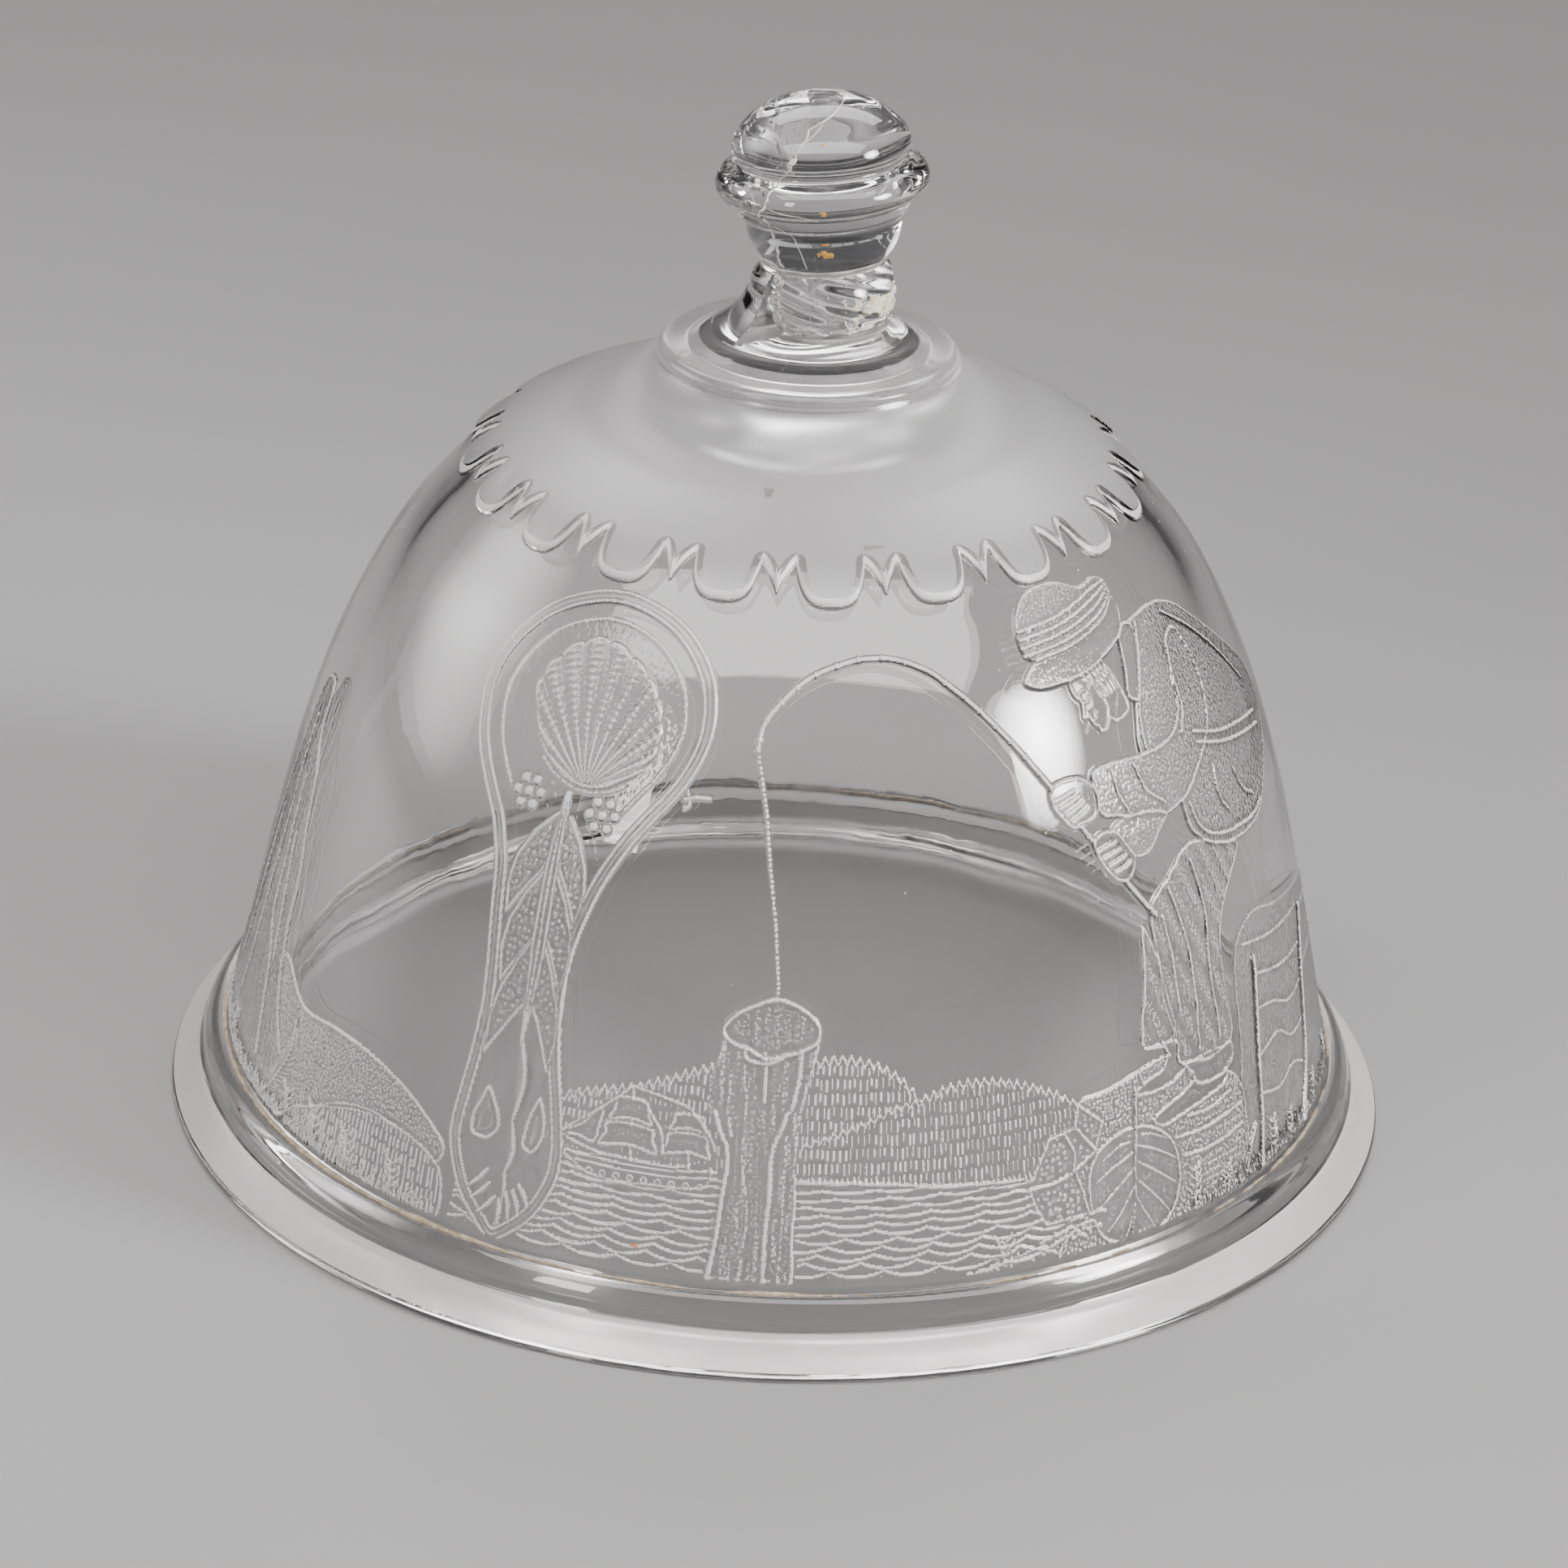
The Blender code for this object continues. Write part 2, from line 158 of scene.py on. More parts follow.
class Canvas:
    """Heights in mm over the bell's wall, on a grid of angle and arc length."""

    def __init__(self):
        fine = curve(WALL, 60)
        arc = np.concatenate([[0], np.cumsum(np.hypot(*np.diff(fine, axis=0).T))])
        self.rows = int(arc[-1] / ROW) + 1
        self.s = np.linspace(0, arc[-1], self.rows)
        self.r = np.interp(self.s, arc, fine[:, 0])
        self.z = np.interp(self.s, arc, fine[:, 1])
        self.th = COLUMNS
        d = np.gradient(self.z, self.s), np.gradient(self.r, self.s)
        self.nr, self.nz = d[0], -d[1]
        self.h = np.zeros((self.rows, COLS))
        self.rough = np.zeros((self.rows, COLS))
        self.fine_z, self.fine_s = fine[:, 1], arc
        self.x = np.radians(self.th)[None, :] * 80.0
        self.y = self.s[:, None]

    def arc(self, z):
        return np.interp(z, self.fine_z, self.fine_s)

    def radius(self, z):
        return np.interp(self.arc(z), self.s, self.r)

    def place(self, points, centre):
        """(angle, height) points as mm across and mm up the wall."""
        p = np.asarray(points, float)
        return np.stack([np.radians(p[:, 0] - centre) * self.radius(p[:, 1]),
                         self.arc(p[:, 1])], 1)

    def window(self, xy, centre, margin):
        y0, y1 = xy[:, 1].min() - margin, xy[:, 1].max() + margin
        i0, i1 = np.searchsorted(self.s, [y0, y1])
        i0, i1 = max(i0 - 1, 0), min(i1 + 1, self.rows)
        if i1 <= i0:
            return None
        r = max(self.r[i0:i1].min(), 20.0)
        a0 = centre + math.degrees((xy[:, 0].min() - margin) / r)
        a1 = centre + math.degrees((xy[:, 0].max() + margin) / r)
        a0 = min(a0, centre + math.degrees((xy[:, 0].min() - margin) / self.r[i0:i1].max()))
        a1 = max(a1, centre + math.degrees((xy[:, 0].max() + margin) / self.r[i0:i1].max()))
        j0, j1 = np.searchsorted(self.th, [a0, a1])
        return slice(i0, i1), slice(max(j0 - 1, 0), min(j1 + 1, COLS))

    def local(self, w, centre):
        x = np.radians(self.th[w[1]] - centre)[None, :] * self.r[w[0]][:, None]
        y = np.broadcast_to(self.s[w[0]][:, None], x.shape)
        return x, y

    def line(self, layer, points, width, height, steps=6, taper=None, shape="round",
             closed=False):
        """A raised line: width is its half width in mm."""
        pts = (closed_curve(points, steps) if closed else
               curve(points, steps) if steps and len(points) > 2 else np.array(points, float))
        if closed:
            pts = np.vstack([pts, pts[:1]])
        centre = float(pts[:, 0].mean())
        xy = self.place(pts, centre)
        n = len(xy)
        wid = np.full(n, width, float)
        if taper is not None:
            wid = width * np.interp(np.linspace(0, 1, n), np.linspace(0, 1, len(taper)), taper)
        for a, b, wa, wb in zip(xy, xy[1:], wid, wid[1:]):
            m = max(wa, wb)
            w = self.window(np.array([a, b]), centre, m)
            if w is None:
                continue
            x, y = self.local(w, centre)
            d = b - a
            t = np.clip(((x - a[0]) * d[0] + (y - a[1]) * d[1]) / max(d @ d, 1e-9), 0, 1)
            q = np.hypot(x - a[0] - t * d[0], y - a[1] - t * d[1]) / (wa + (wb - wa) * t + 1e-6)
            if shape == "round":
                v = np.clip(1 - q * q, 0, 1)
            elif shape == "flat":
                v = smooth(1 - q, 0, 0.4)
            else:
                v = np.clip(1 - q, 0, 1)
            layer[w] = np.maximum(layer[w], height * v)

    def inside(self, points, steps=5, margin=1.0):
        """Window and signed distance in mm, positive inside the outline."""
        pts = closed_curve(points, steps) if steps else np.array(points, float)
        centre = float(pts[:, 0].mean())
        xy = self.place(pts, centre)
        w = self.window(xy, centre, margin)
        x, y = self.local(w, centre)
        best = np.full(x.shape, 1e9)
        odd = np.zeros(x.shape, bool)
        for a, b in zip(xy, np.roll(xy, -1, axis=0)):
            d = b - a
            t = np.clip(((x - a[0]) * d[0] + (y - a[1]) * d[1]) / max(d @ d, 1e-9), 0, 1)
            best = np.minimum(best, (x - a[0] - t * d[0]) ** 2 + (y - a[1] - t * d[1]) ** 2)
            if abs(d[1]) > 1e-9:
                hit = (a[1] > y) != (b[1] > y)
                odd ^= hit & (x < a[0] + (y - a[1]) * d[0] / d[1])
        return w, np.where(odd, 1.0, -1.0) * np.sqrt(best), x, y

    def along(self, points, widths, steps=8, margin=0.6):
        """For a blade on a centre line: window, share across (-1..1), share along."""
        pts = curve(points, steps)
        centre = float(pts[:, 0].mean())
        xy = self.place(pts, centre)
        wid = np.interp(np.linspace(0, 1, len(xy)), np.linspace(0, 1, len(widths)), widths)
        w = self.window(xy, centre, wid.max() + margin)
        x, y = self.local(w, centre)
        best = np.full(x.shape, 1e9)
        side = np.zeros(x.shape)
        where = np.zeros(x.shape)
        half = np.ones(x.shape)
        for k, (a, b) in enumerate(zip(xy, xy[1:])):
            d = b - a
            t = np.clip(((x - a[0]) * d[0] + (y - a[1]) * d[1]) / max(d @ d, 1e-9), 0, 1)
            ex, ey = x - a[0] - t * d[0], y - a[1] - t * d[1]
            e = np.hypot(ex, ey)
            near = e < best
            best = np.where(near, e, best)
            side = np.where(near, np.sign(d[0] * ey - d[1] * ex), side)
            where = np.where(near, (k + t) / (len(xy) - 1), where)
            half = np.where(near, wid[k] + (wid[k + 1] - wid[k]) * t, half)
        return w, side * best / np.maximum(half, 1e-3), where, best, half


C = Canvas()


def mirror(points, centre=0.0):
    return [(2 * centre - a, z) for a, z in points]


def turn(points, angle):
    return [(a + angle, z) for a, z in points]


# ------------------------------------------------------------ wall textures
AROUND = 2 * math.pi * 80.0


def grid(pitch_x, pitch_y):
    wrap = int(round(AROUND / pitch_x))
    return (C.x + AROUND / 2) / AROUND * wrap, C.y / pitch_y, wrap


def stipple(pitch, seed):
    u, v, wrap = grid(pitch, pitch)
    return smooth(1.0 - cells(u, v + 0 * u, seed, wrap), 0.30, 0.80)


def streaks(width, length, seed):
    u, v, wrap = grid(width, length)
    return noise(u, v + 0 * u, seed, wrap)


FINE = stipple(0.62, 1)
COARSE = stipple(0.95, 2)
BARK = streaks(0.75, 5.0, 3)
DRIFT = streaks(9.0, 9.0, 4)


def dashes(pitch, gap, seed, width=0.24, length=0.55):
    """Rows of short upright dashes, staggered like a pressed grass texture."""
    u, v, wrap = grid(pitch, gap)
    v = v + 0 * u
    row = np.floor(v).astype(int)
    rng = np.random.default_rng(seed)
    shift = rng.random(row.max() + 2)
    uu = u + shift[row]
    col = np.floor(uu).astype(int) % wrap
    jit = rng.random((row.max() + 2, wrap))
    high = rng.random((row.max() + 2, wrap))
    fx = uu - np.floor(uu) - 0.5 - 0.35 * (jit[row, col] - 0.5)
    fy = v - row - 0.5 + 0.3 * (high[row, col] - 0.5)
    q = (fx * pitch / width) ** 2 + np.clip(np.abs(fy) / (length + 0.2 * high[row, col]), 0, 2) ** 6
    return np.clip(1 - q, 0, 1)


def waves(pitch, length, seed, width=0.36, swing=1.25):
    """Rows of cusped wavelets, each row shifted along from the last."""
    u, v, wrap = grid(length, pitch)
    v = v + 0 * u
    rng = np.random.default_rng(seed)
    best = np.zeros(v.shape)
    row0 = np.floor(v).astype(int)
    phase = rng.random(row0.max() + 4)
    swell = swing * (1.0 - 0.62 * smooth(v * pitch, 2.0, 15.0))
    for k in (-1, 0, 1):
        row = row0 + k
        ph = u + phase[row + 1] + 0.05 * np.sin(2 * math.pi * u / 7 + row)
        f = ph - np.floor(ph)
        shape = 1.0 - 2.0 * np.abs(np.sin(math.pi * f)) ** 0.75
        d = (v - row - 0.5) * pitch - swell * shape * 0.5
        amp = 0.6 + 0.4 * np.sin(2 * math.pi * (u / 3.0 + phase[row + 1] * 5))
        best = np.maximum(best, np.clip(1 - (d / width) ** 2, 0, 1) * (0.55 + 0.45 * amp))
    return best


GRASS = dashes(0.80, 2.1, 11, width=0.18, length=0.30)
TURF = dashes(0.85, 1.9, 12, width=0.17, length=0.42)
WATER = waves(1.25, 7.4, 13, width=0.30, swing=1.05)


def edge_above(points, sharp=0.4, tooth=0.0):
    """1 below a line drawn across angles, 0 above it, over the whole wall."""
    p = np.array(points, float)
    top = C.arc(np.interp(C.th, p[:, 0], p[:, 1]))[None, :]
    if tooth:
        u = (C.x[0] / 1.0)
        top = top + tooth * (np.abs((u % 1.0) - 0.5) * 2 - 0.5)[None, :]
    return smooth(top - C.y, 0.0, sharp)


def between(a, b, soft=0.4):
    return (smooth(C.th, a - soft, a + soft) * (1 - smooth(C.th, b - soft, b + soft)))[None, :]


# ------------------------------------------------------------ the relief
H = C.h
# glint tones: 1 kept clear, 2 strongest painted highlight, 4 soft painted highlight
GLINT_TONE = np.zeros(H.shape, int)          # 1 polished, 2 bright, 4 soft


def add(layer, amount=1.0):
    H[...] += amount * layer


def blank():
    return np.zeros_like(H)


CART_TOP = [(-34.4, 64.9), (-35.2, 67.7), (-36.2, 70.6), (-37.8, 73.4),
            (-39.8, 76.6), (-41.6, 79.9), (-42.9, 83.4), (-43.7, 86.7),
            (-43.7, 90.2), (-42.6, 93.8), (-40.3, 97.1), (-37.0, 99.5),
            (-31.2, 101.5), (-26.4, 101.9), (-21.4, 101.2), (-16.8, 99.6),
            (-13.5, 97.3), (-11.2, 94.4), (-10.2, 91.2), (-10.1, 87.7),
            (-10.9, 84.3), (-12.3, 81.0), (-13.8, 78.4), (-15.8, 75.5),
            (-17.7, 72.4), (-19.2, 69.2)]
CART_RIGHT = [(-20.5, 66.0), (-21.8, 61.6), (-22.8, 56.7), (-23.3, 52.3),
              (-23.4, 47.5), (-23.2, 42.9), (-22.7, 37.9), (-22.1, 33.6),
              (-21.6, 29.0), (-21.4, 26.3), (-21.6, 22.5), (-22.5, 18.9),
              (-23.7, 15.9), (-25.6, 13.0), (-27.9, 10.9)]
CART_LEFT = [(-29.9, 13.2), (-31.7, 16.0), (-33.1, 19.8), (-34.0, 24.0),
             (-34.0, 27.3), (-33.6, 31.7), (-33.0, 38.0), (-32.7, 44.2),
             (-32.9, 50.1), (-33.3, 54.7), (-33.8, 59.6)]
CART = CART_TOP + CART_RIGHT + CART_LEFT


def cartouche(at=0.0):
    """Handled, pear-headed frame with a shell, berries and hanging leaves."""
    def t(points):
        return turn(points, at)

    w, d, x, y = C.inside(t(CART), 4, margin=1.4)
    bead = blank()
    outer = np.clip(1 - ((d - 0.0) / 0.34) ** 2, 0, 1) * 0.40
    main = np.clip(1 - ((d - 0.75) / 0.75) ** 2, 0, 1) * 0.30
    inner = np.clip(1 - ((d - 1.45) / 0.30) ** 2, 0, 1) * 0.34
    bead[w] = np.maximum(np.maximum(outer, main), inner)
    # the frame lies over whatever the band below draws
    H[w] *= 1 - smooth(d, -0.5, 0.1)
    C.rough[w] *= 1 - smooth(d, -0.5, 0.1)
    add(bead)

    head = smooth(C.z, 74.0, 77.0)[:, None]
    ring = blank()
    w, d, x, y = C.inside(t(CART), 4, margin=0.2)
    line = np.clip(1 - ((d - 4.2) / 0.30) ** 2, 0, 1) * 0.26
    ring[w] = line * (0.55 + 0.45 * FINE[w])
    band = smooth(d, 4.4, 4.9) * (1 - smooth(d, 6.6, 7.4))
    ring[w] += 0.035 * band * COARSE[w]
    add(ring * head)

    # scallop shell: ribs fanning up from the hub
    shell = [(-25.4, 77.7), (-29.1, 79.0), (-31.4, 81.1), (-34.0, 84.4), (-35.4, 87.0),
             (-35.8, 89.7), (-35.0, 91.9), (-33.6, 93.9), (-31.8, 95.4), (-29.6, 96.3),
             (-27.2, 96.6), (-24.8, 96.0), (-22.4, 95.0), (-20.2, 93.6), (-18.2, 91.6),
             (-17.0, 89.2), (-16.5, 86.6), (-16.8, 84.0), (-18.6, 81.2), (-20.8, 79.5),
             (-22.8, 78.2)]
    w, d, x, y = C.inside(t(shell), 4, margin=1.2)
    cx = float(np.mean([p[0] for p in t(closed_like(shell))]))
    hub = C.place([(-25.2 + at, 77.6)], cx)[0]
    ang = np.degrees(np.arctan2(x - hub[0], y - hub[1]))
    rad = np.hypot(x - hub[0], y - hub[1])
    rib = ang / 10.8
    f = np.abs((rib + 0.5) % 1.0 - 0.5) * 2
    lobed = d - 0.7 * smooth(rad, 5.0, 9.0) * (1 - np.sqrt(np.clip(1 - f * f, 0, 1)))
    on = smooth(lobed, -0.15, 0.35)
    body = 0.16 + 0.20 * np.sqrt(np.clip(1 - f * f, 0, 1)) + 0.12 * np.exp(-(f / 0.30) ** 2)
    teeth = 0.035 * np.sin(rad * 2 * math.pi / 1.05) * (1 - smooth(f, 0.5, 0.8)) * smooth(rad, 5.0, 9.0)
    fringe = 0.03 * (FINE[w] - 0.3) * smooth(rad, 4.0, 8.0)
    H[w] += on * (body + teeth + fringe)
    C.rough[w] = np.maximum(C.rough[w], on * 0.14)
    knot = blank()
    for lip in ([(-33.2, 83.0), (-31.2, 80.7), (-28.9, 79.0), (-25.4, 78.0), (-22.4, 78.6), (-20.2, 79.9), (-18.0, 81.9)],
                [(-31.6, 80.2), (-29.2, 78.4), (-25.4, 77.3), (-22.2, 77.9), (-20.0, 79.2)]):
        bend = curve(t(lip), 8)
        for k in range(0, len(bend) - 1, 2):
            C.line(knot, bend[k:k + 2], 0.30, 0.20, steps=0)
    add(knot)

    # two clusters of seven berries
    berry = blank()
    for bx, bz in ((-32.3, 75.4), (-22.2, 74.7)):
        for dx, dz in ((0, 0), (1.48, 0.15), (-1.48, -0.1), (0.72, 1.5),
                       (-0.78, 1.45), (0.78, -1.45), (-0.72, -1.5)):
            p = (bx + dx * 1.08 + at, bz + dz * 1.12)
            w = C.window(np.zeros((1, 2)) + [0, C.arc(p[1])], p[0], 1.0)
            x, y = C.local(w, p[0])
            yy = y - C.arc(p[1])
            q = (x * x + yy ** 2) / 0.78 ** 2
            berry[w] = np.maximum(berry[w], 0.55 * np.sqrt(np.clip(1 - q, 0, 1)))
            # painted highlight: each berry's middle gets the whitest glass, with a clear ring round it
            GLINT_TONE[w] = np.where(q < 1.6, np.where(GLINT_TONE[w] == 2, 2, 1), GLINT_TONE[w])
            GLINT_TONE[w] = np.where(q < 0.62, 2, GLINT_TONE[w])
    add(berry)

    # hanging leaves in three tiers, with a narrow one down the middle
    leaves = [([(-27.2, 73.5), (-29.2, 68.5), (-31.0, 63.5), (-31.9, 58.4)], 2.6),
              ([(-26.6, 73.5), (-25.4, 69.0), (-23.9, 64.0), (-23.3, 58.6)], 2.3),
              ([(-27.3, 65.5), (-28.6, 60.0), (-30.3, 54.0), (-31.1, 48.6)], 2.7),
              ([(-26.9, 65.5), (-25.7, 60.0), (-24.4, 54.5), (-23.9, 48.8)], 2.3),
              ([(-27.3, 55.8), (-28.2, 50.5), (-30.3, 44.0), (-31.7, 37.6)], 2.6),
              ([(-26.9, 55.8), (-26.1, 50.0), (-24.6, 43.5), (-24.1, 37.2)], 2.3),
              ([(-27.0, 76.8), (-27.2, 66.0), (-27.1, 55.0), (-27.2, 47.0), (-27.4, 40.2)], 1.25)]
    for k, (line, wide) in enumerate(leaves):
        w, q, along, e, half = C.along(t(line), [wide * 0.35, wide * 0.9, wide, wide * 0.62, 0.12])
        inside = smooth(1 - np.abs(q), 0.0, 0.12) * (along > 0.001) * (along < 0.9999)
        rim = np.clip(1 - ((half - e - 0.30) / 0.30) ** 2, 0, 1)
        vein = np.clip(1 - (e / 0.22) ** 2, 0, 1) * (k == 6)
        level = 0.10 + 0.05 * k / 6 + 0.10 * COARSE[w] * (1 - rim) + 0.17 * rim + 0.15 * vein
        H[w] = np.where(inside > 0, np.maximum(H[w] * (1 - inside), level * inside), H[w])
        C.rough[w] = np.maximum(C.rough[w], inside * 0.35)

    # faceted spikes, drops and finger leaves at the foot of the handle
    for line, wide, tall in (([(-27.2, 41.0), (-26.4, 35.5), (-27.2, 28.6)], 1.35, 0.55),
                             ([(-27.1, 28.8), (-26.6, 24.6), (-27.4, 20.6)], 0.85, 0.45),
                             ([(-27.2, 21.5), (-27.1, 17.0), (-27.8, 12.2)], 0.55, 0.35)):
        w, q, along, e, half = C.along(t(line), [0.1, 0.9 * wide, wide, 0.6 * wide, 0.1])
        H[w] = np.maximum(H[w], tall * np.clip(1 - np.abs(q), 0, 1))
    for drop in ([(-30.4, 33.2), (-28.9, 30.2), (-28.5, 27.4), (-29.8, 25.2), (-31.6, 25.4), (-31.9, 28.2), (-31.2, 30.8)],
                 [(-24.4, 33.6), (-23.5, 30.8), (-23.5, 27.4), (-24.6, 25.0), (-25.7, 25.6), (-25.7, 28.6), (-25.2, 31.4)]):
        w, d, x, y = C.inside(t(drop), 5, margin=0.5)
        H[w] = np.maximum(H[w], 0.38 * np.clip(1 - ((d - 0.3) / 0.34) ** 2, 0, 1)
                          + 0.16 * smooth(d, 0.5, 1.6))
    bars = blank()
    for a, b in (((-29.2, 20.9), (-31.0, 17.8)), ((-28.8, 19.0), (-30.5, 16.2)),
                 ((-28.0, 17.2), (-29.6, 14.4)), ((-26.8, 18.3), (-26.3, 14.6)),
                 ((-26.1, 19.0), (-25.2, 15.5)), ((-25.5, 20.0), (-24.3, 17.2)),
                 ((-27.5, 17.0), (-27.3, 13.4))):
        C.line(bars, t([a, ((a[0] + b[0]) / 2 + 0.15, (a[1] + b[1]) / 2), b]), 0.5, 0.42,
               taper=[0.55, 1.0, 0.9, 0.5])
    add(bars)


def closed_like(points):
    return closed_curve(points, 4)


# ---- land, water and sky-line, running all the way round
HILL_TOP = [(-180.0, 0.0), (-34.0, 0.0), (-30.0, 30.0), (-22.0, 34.8),
            (-19.6, 36.2), (-17.1, 37.2), (-14.7, 37.9), (-11.0, 39.9),
            (-9.0, 41.2), (-6.6, 42.4), (0.0, 43.0), (4.3, 43.8), (6.0, 44.3),
            (8.1, 44.2), (10.9, 43.2), (13.0, 41.2), (15.1, 37.9),
            (17.6, 39.2), (20.1, 39.8), (23.0, 39.5), (26.4, 38.2),
            (30.1, 35.9), (33.0, 33.0), (34.0, 0.0), (180.0, 0.0)]
SHORE = [(-180.0, 0.0), (-34.0, 0.0), (-32.0, 26.0), (-22.0, 26.2),
         (-13.6, 27.0), (-5.5, 27.2), (2.7, 26.5), (9.6, 26.2), (16.4, 25.2),
         (23.4, 24.4), (27.0, 24.1), (33.0, 22.0), (34.5, 0.0), (180.0, 0.0)]


def land_and_water():
    hill = edge_above(HILL_TOP, 0.35, tooth=0.9)
    shore = edge_above(SHORE, 0.3)
    H[...] += hill * (1 - shore) * (0.07 + 0.26 * GRASS)
    C.rough[...] = np.maximum(C.rough, hill * (1 - shore) * 0.25)
    lines = blank()
    # toothed grass along the tops of the hills and where one passes behind the other
    for ridge, up, down in (([q for q in HILL_TOP if -30.0 <= q[0] <= 0.0], 0.55, 0.80),
                            ([q for q in HILL_TOP if 0.0 <= q[0] <= 15.2], 0.55, 0.80),
                            ([q for q in HILL_TOP if 15.0 <= q[0] <= 33.0], 0.50, 0.75),
                            ([(2.9, 31.6), (6.2, 33.3), (9.6, 35.1), (12.3, 36.9), (15.1, 37.8)], 0.40, 0.55)):
        az = np.arange(ridge[0][0], ridge[-1][0], 0.46)
        tops = np.interp(az, [q[0] for q in ridge], [q[1] for q in ridge])
        C.line(lines, [(a, z + (up if k % 2 else -down)) for k, (a, z) in enumerate(zip(az, tops))], 0.18, 0.26, steps=0)
    C.line(lines, [(2.7, 26.5), (9.6, 26.2), (16.4, 25.2), (23.4, 24.4), (27.5, 24.1)], 0.45, 0.28)
    C.line(lines, [(-22.2, 26.4), (-13.6, 27.0), (-5.5, 27.2)], 0.4, 0.2)
    add(lines)
    H[...] += shore * (0.05 + 0.30 * WATER * smooth(C.y, 1.15, 1.35))


def stump():
    body = [(-5.7, 48.1), (-5.8, 45.5), (-6.4, 42.6), (-6.9, 39.8), (-6.6, 35.8),
            (-5.6, 33.3), (-4.9, 31.6), (-4.6, 29.0), (-4.8, 26.0), (-5.1, 21.3),
            (-5.4, 16.3), (-5.9, 10.8), (-1.7, 10.3), (2.3, 10.6), (2.7, 13.1),
            (2.5, 18.0), (2.7, 23.0), (2.5, 26.9), (2.6, 30.8), (3.0, 36.6),
            (3.9, 42.4), (4.6, 47.0), (4.0, 50.2), (2.0, 52.1), (-0.1, 53.0),
            (-2.5, 51.8), (-4.6, 50.2)]
    w, d, x, y = C.inside(body, 4, margin=0.6)
    on = smooth(d, -0.1, 0.35)
    H[w] *= 1 - on
    round_ = 0.25 * np.sqrt(np.clip(d, 0, 3.0) / 3.0)
    H[w] += on * (0.22 + round_ + 0.24 * (BARK[w] - 0.4) + 0.08 * (FINE[w] - 0.3))
    C.rough[w] = np.where(on > 0, 0.30 * on, C.rough[w])
    top = [(-0.1, 52.9), (2.0, 52.1), (4.0, 50.2), (4.6, 48.4), (4.3, 46.9),
           (2.6, 45.5), (0.5, 44.7), (-1.0, 44.3), (-3.0, 45.6), (-4.7, 46.3),
           (-5.7, 48.1), (-4.6, 50.2), (-2.5, 51.8)]
    w, d, x, y = C.inside(top, 5, margin=0.6)
    on = smooth(d, 0.0, 0.3)
    H[w] = H[w] * (1 - on) + on * (0.18 + 0.085 * FINE[w] + 0.10 * (BARK[w] - 0.4))
    H[w] += 0.24 * np.clip(1 - ((d - 0.1) / 0.34) ** 2, 0, 1)
    lines = blank()
    for p, wd, ht in (([(2.6, 45.5), (2.5, 41.4), (1.8, 37.6), (0.8, 34.1), (0.0, 30.7), (-0.1, 26.8), (-0.1, 22.8), (-0.3, 17.8), (-0.4, 10.8)], 0.5, 0.30),
                      ([(-1.1, 45.0), (-1.0, 42.2), (-1.0, 38.1)], 0.35, 0.25),
                      ([(-3.2, 46.0), (-3.0, 44.2), (-1.1, 43.6), (0.6, 44.4)], 0.35, 0.28),
                      ([(-5.0, 44.8), (-4.6, 40.0), (-4.7, 36.5), (-4.1, 33.0)], 0.3, 0.10),
                      ([(-5.9, 36.0), (-5.2, 33.2), (-4.6, 31.2), (-4.4, 28.6), (-4.6, 25.6), (-4.9, 21.0), (-5.2, 16.2), (-5.7, 11.2)], 0.46, 0.32),
                      ([(2.4, 27.5), (2.5, 23.0), (2.3, 18.0), (2.4, 13.0), (2.2, 11.0)], 0.28, 0.16),
                      ([(-5.7, 11.1), (-3.6, 10.9), (-0.5, 10.9), (2.3, 11.2)], 0.30, 0.20),
                      ([(-3.2, 43.0), (-2.8, 37.0), (-3.0, 30.0), (-2.2, 22.0), (-2.5, 14.0)], 0.26, 0.08),
                      ([(1.4, 33.0), (1.3, 26.0), (1.2, 18.0), (1.1, 11.0)], 0.26, 0.07)):
        C.line(lines, p, wd, ht)
    add(lines)


